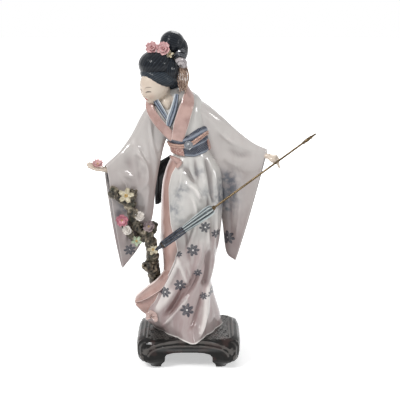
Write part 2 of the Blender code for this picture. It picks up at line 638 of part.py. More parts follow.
def robe_ring(height, rounds, grow=0.0, folded=True):
    """One closed section of the robe, from the front round by her left side."""
    _, mid_x, mid_y, half_width, front, back, lean = robe_section(height)
    slope = math.tan(math.radians(lean))
    ring = []
    for k in range(rounds):
        angle = ROBE_TURN + 2 * math.pi * k / rounds
        if angle > math.pi:
            angle -= 2 * math.pi
        out = Vector((math.sin(angle), -math.cos(angle), 0.0))
        depth = front if out.y < 0 else back
        reach = ((abs(out.x) / half_width) ** 2.2 + (abs(out.y) / depth) ** 2.2) ** (-1 / 2.2)
        if folded:
            reach = hem_reach(angle, height, reach)
        place = Vector((mid_x, mid_y, height)) + out * reach
        if folded:
            place += out * fold_offset(SKIRT_FOLDS, place, out)
        place += out * grow
        place.z += (place.x - mid_x) * slope
        ring.append(place)
    return ring


def robe_heights(steps):
    """Heights of the loft's rings, with that many steps between named sections."""
    heights = []
    for low, high in zip(ROBE_SECTIONS, ROBE_SECTIONS[1:]):
        heights += [low[0] + (high[0] - low[0]) * k / steps for k in range(steps)]
    return heights + [ROBE_SECTIONS[-1][0]]


def robe_body():
    """Skirt and bodice as one solid."""
    rings = [robe_ring(h, ROBE_ROUNDS) for h in robe_heights(ROBE_RINGS_BETWEEN)]
    return loft("robe", rings, "robe_glaze")


def robe_hollow():
    """The space inside the slip-cast skirt, open at the hem."""
    low = HEM_LEVEL - 0.002
    levels = [low] + [HEM_LEVEL + (HOLLOW_TOP - HEM_LEVEL) * k / 9 for k in range(1, 10)]
    return loft("robe hollow", [robe_ring(h, 24, -ROBE_WALL, False) for h in levels])


def sleeve_station(stations, share):
    """Top edge, bottom edge, arm thickness, bag thickness and bow at a share of the arm."""
    packed = [Vector(s[0]) for s in stations]
    lows = [Vector(s[1]) for s in stations]
    extras = [Vector((s[2], s[3], s[4])) for s in stations]
    spans = len(stations) - 1
    fine = 8
    index = share * spans * fine
    low = min(int(index), spans * fine - 1)
    t = index - low
    picked = []
    for rows in (packed, lows, extras):
        curve = catmull_rom(rows, fine)
        picked.append(curve[low].lerp(curve[low + 1], t))
    return picked


def sleeve_rings(stations, rounds, shares, shrink=0.0):
    """Closed sections of a sleeve: round at the arm on top and flat where it hangs."""
    rings = []
    for share in shares:
        top, low, (arm, bag, bow) = sleeve_station(stations, share)
        ahead = sleeve_station(stations, min(share + 0.02, 1.0))[0]
        behind = sleeve_station(stations, max(share - 0.02, 0.0))[0]
        drop = low - top
        normal = (ahead - behind).cross(drop).normalized()
        if normal.y > 0:
            normal.negate()
        across = (ahead - behind).normalized()
        ring = []
        for k in range(rounds):
            turn = 2 * math.pi * k / rounds
            down = 0.5 - 0.5 * math.cos(turn)
            down = shrink / drop.length + down * (1 - 2 * shrink / drop.length)
            thick = arm + (bag - arm) * smooth_step(down / 0.45) - shrink
            swell = math.copysign(abs(math.sin(turn)) ** 0.75, math.sin(turn))
            place = top + drop * down + across * (bow * -math.sin(math.pi * down))
            place += normal * (thick * swell)
            if shrink <= 0.0:
                facing = normal if swell > 0 else -normal
                place += facing * (fold_offset(SLEEVE_FOLDS, place, facing) * abs(swell))
            ring.append(place)
        rings.append(ring)
    return rings


def sleeve(name, stations):
    """A long hanging sleeve, open at the cuff."""
    count = (len(stations) - 1) * SLEEVE_RINGS_BETWEEN
    shares = [k / count for k in range(count + 1)]
    body = loft(name, sleeve_rings(stations, SLEEVE_ROUNDS, shares), None)
    top, low = (Vector(stations[-1][k]) for k in (0, 1))
    before = Vector(stations[-2][0])
    outward = (top - before).normalized()
    pocket_shares = [1.0 - CUFF_DEPTH / (top - before).length / (len(stations) - 1), 1.0]
    rings = sleeve_rings(stations, SLEEVE_ROUNDS, pocket_shares, SLEEVE_WALL * 1.6)
    rings.append([p + outward * 0.004 for p in rings[-1]])
    pocket = loft(name + " pocket", rings)
    return combine(body, [pocket], "DIFFERENCE")


def sheet_solid(name, rows, thickness, steps, finish=None):
    """A curved sheet of even thickness through rows of points."""
    columns = [catmull_rom(row, steps) for row in rows]
    grid = list(zip(*[catmull_rom(line, steps) for line in zip(*columns)]))
    bm = bmesh.new()
    verts = [[bm.verts.new(p) for p in row] for row in grid]
    for a, b in zip(verts, verts[1:]):
        for i in range(len(a) - 1):
            bm.faces.new((a[i], a[i + 1], b[i + 1], b[i]))
    obj = add_object(name, bm, finish)
    solidify = obj.modifiers.new("Thickness", "SOLIDIFY")
    solidify.thickness = thickness
    solidify.offset = 0.0
    bpy.context.view_layer.update()
    graph = bpy.context.evaluated_depsgraph_get()
    mesh = bpy.data.meshes.new_from_object(obj.evaluated_get(graph))
    obj.modifiers.clear()
    obj.data = mesh
    return obj


def ribbon(name, line, facings, width, thickness, finish=None):
    """A flat band with softened edges, along a line of points that each face outwards."""
    rings = []
    for k, (place, facing) in enumerate(zip(line, facings)):
        along = line[min(k + 1, len(line) - 1)] - line[max(k - 1, 0)]
        facing = facing.normalized()
        across = along.cross(facing).normalized()
        half, thick = width / 2, thickness / 2
        outline = ((-half, -thick), (half, -thick), (half, 0.2 * thick), (0.86 * half, thick),
                   (-0.86 * half, thick), (-half, 0.2 * thick))
        rings.append([place + across * a + facing * b for a, b in outline])
    return loft(name, rings, finish)


def collar(name, stops, width, thickness):
    """A collar that crosses on the chest and stands off the nape."""
    line = catmull_rom([p for p, _ in stops], 2)
    facings = catmull_rom([f for _, f in stops], 2)
    return ribbon(name, line, facings, width, thickness)


def waist_band(name, right_level, left_level, width, proud):
    """A band round the waist that stands proud of the robe, higher on one side."""
    middle = (right_level + left_level) / 2
    rounds = 28
    rings = []
    for level in (-0.5, -0.38, 0.38, 0.5):
        inset = proud * (0.45 if abs(level) == 0.5 else 0.0)
        ring = robe_ring(middle + level * width, rounds, proud - inset, False)
        _, mid_x, _, half_width, *_ = robe_section(middle)
        slope = (left_level - right_level) / (2 * half_width)
        rings.append([p + UP * ((p.x - mid_x) * slope) for p in ring])
    return loft(name, rings)


def waist_cord(level, radius):
    """The cord tied round the obi, with its brooch in front."""
    proud = OBI_BANDS[0][3] + radius * 0.4
    ring = robe_ring(level, 28, proud, False)
    bm = bmesh.new()
    sides = 6
    count = len(ring)
    middle = sum(ring, Vector()) / count
    rows = []
    for k, place in enumerate(ring):
        out = (place - middle).normalized()
        rows.append([bm.verts.new(place + radius * (out * math.cos(a) + UP * math.sin(a)))
                     for a in (2 * math.pi * s / sides for s in range(sides))])
    for k in range(count):
        a, b = rows[k], rows[(k + 1) % count]
        for s in range(sides):
            t = (s + 1) % sides
            bm.faces.new((a[s], a[t], b[t], b[s]))
    return add_object("waist cord", bm)


def brooch(body_surface):
    """The round clasp on the obi cord."""
    x, z = BROOCH_PLACE
    hit = body_surface.ray_cast(Vector((x, -0.2, z)), BACK)[0]
    rings = []
    for depth, radius in ((0.003, 0.9), (-0.0025, 1.0), (-0.0042, 0.86), (-0.0048, 0.45)):
        rings.append([Vector((x + BROOCH_RADIUS * radius * math.cos(a), hit.y + depth,
                              z + BROOCH_RADIUS * radius * math.sin(a)))
                      for a in (2 * math.pi * k / 16 for k in range(16))])
    return loft("brooch", rings)


def make_robe():
    """Skirt, bodice, sleeves, swirling lining, collar and obi, which were cast together."""
    robe = robe_body()
    surface = surface_of(robe)
    joined = [sleeve("right sleeve", RIGHT_SLEEVE), sleeve("left sleeve", LEFT_SLEEVE)]
    joined.append(sheet_solid("train", TRAIN_ROWS, TRAIN_THICKNESS, 4))
    joined.append(collar("collar", COLLAR_LINE, COLLAR_WIDTH, COLLAR_THICKNESS))
    joined.append(loft("inner collar", neck_rings(INNER_COLLAR_WALL, INNER_COLLAR_DROP)[:-1]))
    joined += [waist_band(f"obi band {k}", *band) for k, band in enumerate(OBI_BANDS)]
    joined.append(waist_cord(OBI_CORD_LEVEL, OBI_CORD_RADIUS))
    joined.append(brooch(surface))
    combine(robe, joined, "UNION")
    neck = loft("neck socket", neck_rings(SEAT_GAP))
    sockets = [wrist_plug("wrist socket", hand, SEAT_GAP) for hand in (RIGHT_HAND, LEFT_HAND)]
    combine(robe, [robe_hollow(), neck] + sockets + head_forms(HEAD_CLEARANCE), "DIFFERENCE")
    return finish_part(drop_crumbs(robe))


def neck_rings(grow, drop=0.0):
    """Sections of the neck and the bare chest, from the point of the V up."""
    rings = []
    for k, (middle, half_width, half_depth) in enumerate(NECK_SECTIONS):
        middle = Vector(middle) - (UP * (grow + drop) if k == 0 else Vector())
        wide, deep = half_width + grow, half_depth + grow
        rings.append([middle + Vector((math.cos(a) * wide, math.sin(a) * deep, 0.0))
                      for a in (2 * math.pi * s / 16 for s in range(16))])
    return rings


def wrist_plug(name, hand, grow):
    """The wrist, from inside the sleeve out to the palm."""
    wrist, direction, _ = hand
    direction = direction.normalized()
    back = wrist - direction * (WRIST_SOCKET_DEPTH + grow)
    ahead = wrist + direction * 0.006
    return tube(name, [back, wrist, ahead], [WRIST_RADIUS + grow] * 3, 12)


def head_axes():
    """Side, back and crown directions of the head as a rotation."""
    back = -HEAD_FACING.normalized()
    crown = (HEAD_CROWN - back * HEAD_CROWN.dot(back)).normalized()
    side = back.cross(crown).normalized()
    return Matrix((side, back, crown)).transposed()


def face_shape(direction):
    """Share of the egg's reach in a direction of the head: brow, nose, lips and chin."""
    side, back, up = direction
    front = max(-back, 0.0)
    narrow = 1.0 - 0.20 * smooth_step(-up * 1.1) * (1.0 if back < 0.2 else 0.5)
    jaw = 1.0 + 0.03 * front * math.exp(-((up + 0.78) / 0.16) ** 2) * math.exp(-(side / 0.22) ** 2)
    nose = 0.10 * math.exp(-((up + 0.12) / 0.13) ** 2) * math.exp(-(side / 0.10) ** 2) * front
    lips = 0.035 * math.exp(-((up + 0.42) / 0.07) ** 2) * math.exp(-(side / 0.16) ** 2) * front
    sockets = 0.030 * math.exp(-((up - 0.08) / 0.10) ** 2) * math.exp(-((abs(side) - 0.34) / 0.16) ** 2)
    return narrow * jaw + nose + lips - sockets * front


def head_forms(grow):
    """The face and the hair masses as separate solids, all grown by a clearance."""
    axes = head_axes()
    bm = bmesh.new()
    bmesh.ops.create_uvsphere(bm, u_segments=24, v_segments=18, radius=1.0)
    half_sizes = Vector((HEAD_WIDTH, HEAD_DEPTH, HEAD_LENGTH)) / 2
    for vert in bm.verts:
        direction = vert.co.normalized()
        local = Vector([direction[k] * half_sizes[k] for k in range(3)]) * face_shape(direction)
        vert.co = HEAD_MIDDLE + axes @ (local + direction * grow)
    forms = [add_object("face", bm)]
    for k, (place, sizes, tilt) in enumerate(HAIR_MASSES):
        turn = Matrix.Rotation(math.radians(-tilt), 3, "Y")
        grown = Vector(sizes) + Vector((grow, grow, grow))
        forms.append(ellipsoid(f"hair {k}", HEAD_MIDDLE + Vector(place), grown, turn=turn))
    return forms


def make_head():
    """Head, neck and dressed hair, which are one casting."""
    head = loft("head", neck_rings(0.0), "skin_glaze")
    return finish_part(combine(head, head_forms(0.0), "UNION"))


def make_bow(robe):
    """The black bow of the obi, tied low on her back, with two hanging tails."""
    place = Vector((robe_section(BOW_LEVEL)[1], 0.080, BOW_LEVEL))
    half = BOW_WIDTH / 2
    loops = []
    for sign in (-1.0, 1.0):
        rings = []
        for share, tall, thick in ((0.0, 0.30, 0.50), (0.25, 0.62, 0.85), (0.6, 0.95, 1.0),
                                   (0.9, 1.0, 0.85), (1.0, 0.86, 0.45)):
            centre = place + Vector((sign * half * share, -0.004 * share, -0.020 * share * share))
            ring = []
            for a in (2 * math.pi * k / 16 for k in range(16)):
                ring.append(centre + Vector((0.0, math.cos(a) * BOW_THICKNESS / 2 * thick,
                                             math.sin(a) * BOW_HEIGHT / 2 * tall)))
            rings.append(ring)
        loops.append(loft("bow loop", rings))
    knot_sizes = (0.0100, BOW_THICKNESS * 0.62, 0.0190)
    knot = ellipsoid("obi_bow", place + UP * 0.006, knot_sizes, "bow_glaze", 14, 10)
    tails = []
    for sign in (-1.0, 1.0):
        top = place + Vector((sign * 0.004, 0.0, -0.004))
        low = place + Vector((sign * 0.017, -0.002, -BOW_TAIL_LENGTH))
        line = catmull_rom([top, top.lerp(low, 0.5) + BACK * 0.004, low], 3)
        facings = [BACK] * len(line)
        tails.append(ribbon("bow tail", line, facings, BOW_TAIL_WIDTH, 0.0034))
    bow = combine(knot, loops + tails, "UNION")
    return finish_part(seat_on(bow, robe, FRONT))


def make_hand(name, hand, curl, thumb_up):
    """Palm, four fingers and a thumb on a wrist that plugs into the sleeve."""
    wrist, direction, palm_way = hand
    along = direction.normalized()
    normal = (palm_way - along * palm_way.dot(along)).normalized()
    across = along.cross(normal)
    base = wrist + along * 0.004
    rings = []
    for share, wide, thick in ((0.0, 1.0, 1.0), (0.35, 1.35, 0.85), (0.8, 1.45, 0.75), (1.0, 1.3, 0.6)):
        centre = base + along * (HAND_LENGTH * 0.36 * share)
        rings.append([centre + across * (WRIST_RADIUS * wide * math.cos(a))
                      + normal * (WRIST_RADIUS * 0.8 * thick * math.sin(a))
                      for a in (2 * math.pi * k / 12 for k in range(12))])
    palm = loft(name, rings, "skin_glaze")
    joined = [wrist_plug("wrist", hand, 0.0)]
    for k in range(4):
        spread = (k - 1.5) * 0.0024
        root = base + along * (HAND_LENGTH * 0.32) + across * spread
        reach = HAND_LENGTH * (0.50, 0.56, 0.52, 0.42)[k]
        bend = curl * (0.8 + 0.15 * k)
        middle = root + (along * math.cos(bend * 0.5) + normal * math.sin(bend * 0.5)) * reach * 0.45
        end = middle + (along * math.cos(bend) + normal * math.sin(bend)) * reach * 0.5
        radii = [FINGER_RADIUS, FINGER_RADIUS * 0.9, FINGER_RADIUS * 0.7]
        joined.append(tube("finger", [root, middle, end], radii, 7, None, True))
    side = across * (WRIST_RADIUS * 1.1) * (1.0 if thumb_up else -1.0)
    root = base + along * 0.0012 + side * 0.35
    middle = root + along * 0.0045 + side * 0.95 + normal * 0.0012
    end = middle + along * 0.0060 + normal * 0.0024
    joined.append(tube("thumb", [root, middle, end],
                       [FINGER_RADIUS * 1.1, FINGER_RADIUS, FINGER_RADIUS * 0.8], 7, None, True, 0.4))
    return combine(palm, joined, "UNION")


def limb(name, line, start, end, hollow, finish=None):
    """A gnarled limb, cut off square, with a bored stub where the wood was broken."""
    points = catmull_rom(line, 3)
    last = len(points) - 1
    radii = [start + (end - start) * k / last + 0.0005 * math.sin(2.4 * k) for k in range(last + 1)]
    body = tube(name, points, radii, 9, finish)
    if not hollow:
        return body
    tip, before = points[-1], points[-2]
    way = (tip - before).normalized()
    bore = tube(name + " bore", [tip - way * 0.0045, tip + way * 0.003], [STUB_BORE] * 2, 8)
    return combine(body, [bore], "DIFFERENCE")


def make_branch():
    """The old flowering branch that rises from the stand beside her skirt."""
    trunk = limb("branch", TRUNK_LINE, TRUNK_RADIUS * 1.25, LIMB_RADIUS * 1.05, False, "bark_glaze")
    for name, line, start, end, hollow in LIMB_LINES:
        piece = limb(name, line, LIMB_RADIUS * start, LIMB_RADIUS * end, hollow)
        combine(trunk, [piece], "UNION")
    low = min(v.co.z for v in trunk.data.vertices)
    foot = bmesh.new()
    bmesh.ops.create_cube(foot, size=1.0)
    bmesh.ops.scale(foot, vec=(0.05, 0.05, 0.02), verts=foot.verts)
    below = (TRUNK_LINE[0][0], TRUNK_LINE[0][1], HEM_LEVEL - 0.01)
    bmesh.ops.translate(foot, vec=below, verts=foot.verts)
    if low < HEM_LEVEL:
        combine(trunk, [add_object("foot cut", foot)], "DIFFERENCE")
    heights = [h for h in robe_heights(ROBE_RINGS_BETWEEN) if h < 0.240]
    heights[0] -= 0.002
    keep_out = loft("robe keep-out", [robe_ring(h, ROBE_ROUNDS, SEAT_GAP + 0.0004) for h in heights])
    lining = sheet_solid("train keep-out", TRAIN_ROWS, TRAIN_THICKNESS + 0.0016, 4)
    count = (len(RIGHT_SLEEVE) - 1) * SLEEVE_RINGS_BETWEEN
    shares = [k / count for k in range(count + 1)]
    rings = sleeve_rings(RIGHT_SLEEVE, SLEEVE_ROUNDS, shares, -0.0006)
    rings.append([2 * end - before for before, end in zip(rings[-2], rings[-1])])
    cloth = loft("sleeve keep-out", rings)
    combine(trunk, [keep_out, lining, cloth], "DIFFERENCE")
    drop_crumbs(trunk)
    return finish_part(trunk)


def flower(name, place, facing, radius, petals, finish, turn=0.0):
    """A hand-rolled blossom: lobed petals that rise round a raised centre, on a flat back."""
    facing = Vector(facing).normalized()
    side = facing.orthogonal().normalized()
    other = facing.cross(side)
    rounds = petals * 3
    thick = PETAL_THICKNESS / radius
    profile = ((0.30, 0.0, 0.0), (1.0, 0.34, 0.36), (0.96, 0.34 + thick, 0.36), (0.34, 0.08 + thick, 0.1))
    rings = []
    for reach, lift, notch in profile:
        ring = []
        for k in range(rounds):
            a = 2 * math.pi * k / rounds
            spread = radius * reach * (1.0 - (notch if k % 3 == 0 else 0.0))
            ring.append(place + facing * (radius * lift) + spread
                        * (math.cos(a + turn) * side + math.sin(a + turn) * other))
        rings.append(ring)
    return loft(name, rings, finish)


def make_branch_flowers(branch):
    """Blossoms pressed on to the front of the branch."""
    for k, (name, x, z, radius, petals, finish) in enumerate(BRANCH_FLOWERS):
        facing = Vector((0.25 * math.sin(2.1 * k), -1.0, 0.30 + 0.2 * math.cos(1.3 * k)))
        blossom = flower(name, Vector((x, -0.080, z)), facing, radius, petals, finish, 0.5 * k)
        seat_on(blossom, branch, BACK)


def make_hair_flowers(head):
    """Blossoms, beaded tassel and pin on the hair."""
    clusters = (
        ("pink_hair_blossom_left", (-0.0464, -0.0250, 0.3700), (0.42, 0.75, -0.70), 0.0054, 5, "pink", 0.2),
        ("pink_hair_blossom_right", (-0.0258, -0.0600, 0.3640), (0.02, 1.0, -0.22), 0.0060, 6, "pink", 0.9),
        ("cream_hair_blossom_left", (-0.0183, -0.0600, 0.3475), (0.0, 1.0, 0.0), 0.0036, 5, "cream", 0.0),
        ("cream_hair_blossom_right", (-0.0115, -0.0600, 0.3440), (0.0, 1.0, 0.0), 0.0036, 5, "cream", 0.6),
    )
    for name, start, way, radius, petals, finish, turn in clusters:
        blossom = flower(name, Vector(start), Vector((-0.2, -1.0, 0.5)), radius, petals, finish, turn)
        seat_on(blossom, head, way)


def make_tassel(head):
    """Three strands of little blossoms that hang from the hair behind her left ear."""
    strands = []
    for x, y in ((-0.0048, -0.0018), (-0.0012, 0.0000), (-0.0040, 0.0022)):
        points, radii = [], []
        count = 8
        for step in range(count + 1):
            share = step / count
            points.append(Vector((0.06 + x + 0.001 * share, y - 0.0045 - 0.0150 * share,
                                  0.3325 - 0.0255 * share)))
            radii.append(0.0016 + 0.0010 * (step % 2) - 0.0006 * share)
        strands.append(tube("strand", points, radii, 5, None, True))
    tie = ellipsoid("hair_tassel", Vector((0.0570, -0.0035, 0.3320)), (0.0052, 0.0050, 0.0035),
                    "tassel_glaze", 12, 8)
    tassel = combine(tie, strands, "UNION")
    return seat_on(tassel, head, Vector((-1.0, 0.0, 0.0)))


def shaft_point(distance):
    """A point on the parasol's shaft, measured from the palm towards the handle."""
    return GRIP_POINT + SHAFT_DIRECTION.normalized() * distance


def make_parasol():
    """Porcelain canopy, brass shaft and brass handle."""
    way = SHAFT_DIRECTION.normalized()
    side = way.orthogonal().normalized()
    other = way.cross(side)
    top = shaft_point(-GRIP_TO_CANOPY)
    profile = ((0.0, 0.62), (0.02, 0.94), (0.10, 0.97), (0.30, 0.84), (0.49, 0.68), (0.52, 0.78),
               (0.70, 0.72), (0.85, 0.62), (0.87, 0.66), (0.90, 0.58), (0.92, 0.34), (0.97, 0.24),
               (1.0, 0.12))
    rounds = CANOPY_RIBS * 3
    rings = []
    for share, reach in profile:
        ring = []
        for k in range(rounds):
            a = 2 * math.pi * k / rounds
            pleat = 1.0 - (0.16 * (k % 3 != 0) if 0.02 < share < 0.87 else 0.08)
            centre = top - way * (CANOPY_LENGTH * share)
            ring.append(centre + CANOPY_RADIUS * reach * pleat * (math.cos(a) * side + math.sin(a) * other))
        rings.append(ring)
    canopy = loft("parasol_canopy", rings, "parasol_glaze")
    bore = tube("canopy bore", [top - way * (CANOPY_BORE_DEPTH + SHAFT_CLEARANCE), top + way * 0.004],
                [SHAFT_RADIUS + SHAFT_CLEARANCE] * 2, 12)
    combine(canopy, [bore], "DIFFERENCE")
    end = shaft_point(GRIP_TO_END - HANDLE_LENGTH)
    tube("parasol_shaft", [top - way * CANOPY_BORE_DEPTH, end + way * 0.006], [SHAFT_RADIUS] * 2, 12, "brass")
    points, radii = [], []
    for share, reach in ((0.0, 0.60), (0.06, 1.0), (0.30, 1.0), (0.65, 0.72), (0.90, 0.45), (1.0, 0.25)):
        points.append(end + way * (HANDLE_LENGTH * share))
        radii.append(HANDLE_RADIUS * reach)
    handle = tube("parasol_handle", points, radii, 14, "brass")
    seat = tube("handle bore", [end - way * 0.002, end + way * (0.006 + SHAFT_CLEARANCE)],
                [SHAFT_RADIUS + SHAFT_CLEARANCE] * 2, 12)
    combine(handle, [seat], "DIFFERENCE")


def make_hands():
    """Both hands, the left one bored for the parasol's shaft."""
    right = make_hand("right_hand", RIGHT_HAND, 0.25, True)
    left = make_hand("left_hand", LEFT_HAND, 1.5, False)
    bore = tube("shaft bore", [shaft_point(-0.03), shaft_point(0.03)],
                [SHAFT_RADIUS + SHAFT_CLEARANCE] * 2, 12)
    combine(left, [bore], "DIFFERENCE")
    offered = flower("offered_blossom", Vector((-0.0950, -0.0260, 0.2600)), Vector((0.1, -0.5, 0.85)),
                     0.0050, 5, "pink")
    seat_on(offered, right, Vector((0.0, 0.0, -1.0)))


def stand_outline(height, inset=0.0, rounds=36, coved=True):
    """A rounded rectangle of the stand at a height, bulging over its feet."""
    share = height / STAND_HEIGHT
    inset_x = inset_y = inset
    for (a, low_x, low_y), (b, high_x, high_y) in zip(STAND_PROFILE, STAND_PROFILE[1:]):
        if share <= b:
            t = (share - a) / (b - a)
            inset_x += low_x + (high_x - low_x) * t
            inset_y += low_y + (high_y - low_y) * t
            break
    half_x, half_y = STAND_WIDTH / 2 - inset_x, STAND_DEPTH / 2 - inset_y
    cove = STAND_COVE * smooth_step((0.86 - share) / 0.30) if coved else 0.0
    ring = []
    for k in range(rounds):
        a = 2 * math.pi * k / rounds
        c, s = math.cos(a), math.sin(a)
        x = math.copysign(abs(c) ** 0.36, c) * half_x
        y = math.copysign(abs(s) ** 0.36, s) * half_y
        if abs(s) > 0.5:
            y -= math.copysign(cove * smooth_step((STAND_COVE_REACH - abs(x)) / STAND_COVE_FADE), y)
        ring.append(Vector((x, y, height)))
    return ring


def arch_cutter(name, scale, along, length):
    """An arch with a scroll at each foot, cut through the stand along one axis."""
    half = [((STAND_ARCH_HALF - x) * scale[0], z * scale[1]) for x, z in ARCH_PROFILE]
    outline = [(half[0][0], -0.004)] + half + [(-x, z) for x, z in reversed(half)] + [(-half[0][0], -0.004)]
    rings = []
    for end in (-length / 2, length / 2):
        rings.append([Vector((x, end, z)) if along == "Y" else Vector((end, x, z)) for x, z in outline])
    return loft(name, rings)


def surface_tube(name, surface, places, direction, radius, sides=4):
    """A bead laid on a surface, found by looking along the direction at each place."""
    points = []
    for place in places:
        hit = surface.ray_cast(Vector(place) - Vector(direction) * 0.1, direction)
        if hit[0] is not None:
            points.append(hit[0])
    return tube(name, points, [radius] * len(points), sides, None, True)


def stand_hollow():
    """The space under the stand, narrow between the solid feet and wide above them."""
    ceiling = STAND_HEIGHT - STAND_PLATE
    wide = stand_outline(ceiling, STAND_WALL, 24, False)
    half_x, half_y = max(p.x for p in wide), max(p.y for p in wide)
    narrow = [Vector((p.x / half_x * STAND_FOOT_INNER[0], p.y / half_y * STAND_FOOT_INNER[1], 0.0))
              for p in wide]
    rings = []
    for height, ring in ((-0.004, narrow), (STAND_FOOT_PAD, narrow),
                         (STAND_FOOT_PAD + 0.003, wide), (ceiling, wide)):
        rings.append([Vector((p.x, p.y, height)) for p in ring])
    return loft("underside", rings)


def make_stand():
    """Low stand with bracket feet, arched and coved aprons, and moulded edges."""
    levels = [STAND_HEIGHT * row[0] for row in STAND_PROFILE]
    stand = loft("stand", [stand_outline(level) for level in levels], "stand_glaze")
    surface = surface_of(loft("stand rails", [stand_outline(level, coved=False) for level in levels]))
    bpy.data.objects.remove(bpy.data.objects["stand rails"])
    beads = []
    for way in (BACK, FRONT):
        for drop in (0.0, 0.0040):
            half = STAND_WIDTH / 2 - 0.0085 - drop * 1.1
            rise = STAND_HEIGHT - STAND_BEAD_RADIUS - drop
            places = []
            for k in range(15):
                a = math.pi * (0.12 + 0.76 * k / 14)
                x = math.copysign(abs(math.cos(a)) ** 0.75, math.cos(a)) * half
                places.append((x, 0.0, 0.0060 + abs(math.sin(a)) ** 0.55 * (rise - 0.0060)))
            beads.append(surface_tube("bead", surface, places, way, STAND_BEAD_RADIUS))
    for hand in (-1.0, 1.0):
        for inset in (0.0062, 0.0104):
            x = hand * (STAND_WIDTH / 2 - inset)
            half = STAND_DEPTH / 2 - 0.0075
            places = [(x, half * (2 * k / 8 - 1), 0.0) for k in range(9)]
            beads.append(surface_tube("side band", surface, places, (0, 0, -1), STAND_BAND_RADIUS))
    combine(stand, beads, "UNION")
    combine(stand, [stand_hollow(),
                    arch_cutter("front arch", (1.0, 1.0), "Y", STAND_DEPTH * 1.5),
                    arch_cutter("side arch", SIDE_ARCH_SHARE, "X", STAND_WIDTH * 1.5)], "DIFFERENCE")
    return finish_part(stand)


def lift_figure(stand):
    """Raises all but the stand so that the hem sits on it with the seat gap."""
    lift = Matrix.Translation(UP * (STAND_HEIGHT + SEAT_GAP - HEM_LEVEL))
    for obj in PARTS.objects:
        if obj != stand:
            obj.data.transform(lift)


def centre_on_origin():
    """Moves all the parts so that the origin is below the middle of their joint bounds."""
    corners = [v.co for obj in PARTS.objects for v in obj.data.vertices]
    middle = Vector([(min(c[k] for c in corners) + max(c[k] for c in corners)) / 2 for k in (0, 1)] + [0.0])
    for obj in PARTS.objects:
        obj.data.transform(Matrix.Translation(-middle))


def main():
    robe = make_robe()
    head = make_head()
    make_hair_flowers(head)
    make_tassel(head)
    make_bow(robe)
    make_hands()
    branch = make_branch()
    make_branch_flowers(branch)
    make_parasol()
    stand = make_stand()
    lift_figure(stand)
    centre_on_origin()


main()
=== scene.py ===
"""Looks of the porcelain geisha figurine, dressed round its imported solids.

Each sub-assembly is a class that holds its sizes and makes its own pieces: the robe with
its sleeves, collars and obi, the head and its dressed hair, the hands, the branch with
its blossoms, the parasol and the carved stand. Tables that MM scales are in millimetres
and all other lengths in metres, in the figure's own datum, whose origin is below the
middle of the stand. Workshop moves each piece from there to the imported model's frame.
"""

import json
import logging
import math
from dataclasses import dataclass, field
from enum import Enum
from typing import Iterable, Sequence

import bmesh
import bpy
import numpy as np
from mathutils import Matrix, Vector, noise
from mathutils.bvhtree import BVHTree

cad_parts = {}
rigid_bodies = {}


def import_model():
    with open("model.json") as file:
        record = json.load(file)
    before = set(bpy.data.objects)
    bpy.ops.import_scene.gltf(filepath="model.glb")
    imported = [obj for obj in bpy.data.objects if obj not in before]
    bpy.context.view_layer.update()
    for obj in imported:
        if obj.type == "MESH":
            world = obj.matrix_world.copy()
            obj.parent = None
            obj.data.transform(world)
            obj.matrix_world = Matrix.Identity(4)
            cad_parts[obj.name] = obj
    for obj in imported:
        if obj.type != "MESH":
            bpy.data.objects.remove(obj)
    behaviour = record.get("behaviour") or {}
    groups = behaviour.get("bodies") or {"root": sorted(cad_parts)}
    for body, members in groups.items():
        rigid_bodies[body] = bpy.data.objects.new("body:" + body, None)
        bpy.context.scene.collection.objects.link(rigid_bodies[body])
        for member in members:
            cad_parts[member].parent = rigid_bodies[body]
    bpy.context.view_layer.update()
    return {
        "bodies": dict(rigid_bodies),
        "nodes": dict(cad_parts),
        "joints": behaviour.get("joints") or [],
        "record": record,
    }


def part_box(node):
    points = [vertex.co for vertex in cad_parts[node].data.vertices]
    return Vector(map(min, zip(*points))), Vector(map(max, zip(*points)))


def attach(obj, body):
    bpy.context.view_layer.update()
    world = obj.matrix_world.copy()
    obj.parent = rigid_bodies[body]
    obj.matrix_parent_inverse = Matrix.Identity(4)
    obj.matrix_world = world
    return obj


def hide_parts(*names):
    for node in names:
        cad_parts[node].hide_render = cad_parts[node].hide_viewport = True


LOG = logging.getLogger("figurine")

Line = Sequence[tuple[float, float]]
Colour = tuple[float, float, float]
Socket = bpy.types.NodeSocket

MM = 0.001
STAND_HEIGHT = 0.037
SEAT_GAP = 0.00035
HEM_LEVEL = 0.0345
HEM_FREE_HEIGHT = 0.092
FOLD_FADE = 0.014
COAT_ROUGHNESS = 0.06
WHITE = (1.0, 1.0, 1.0)

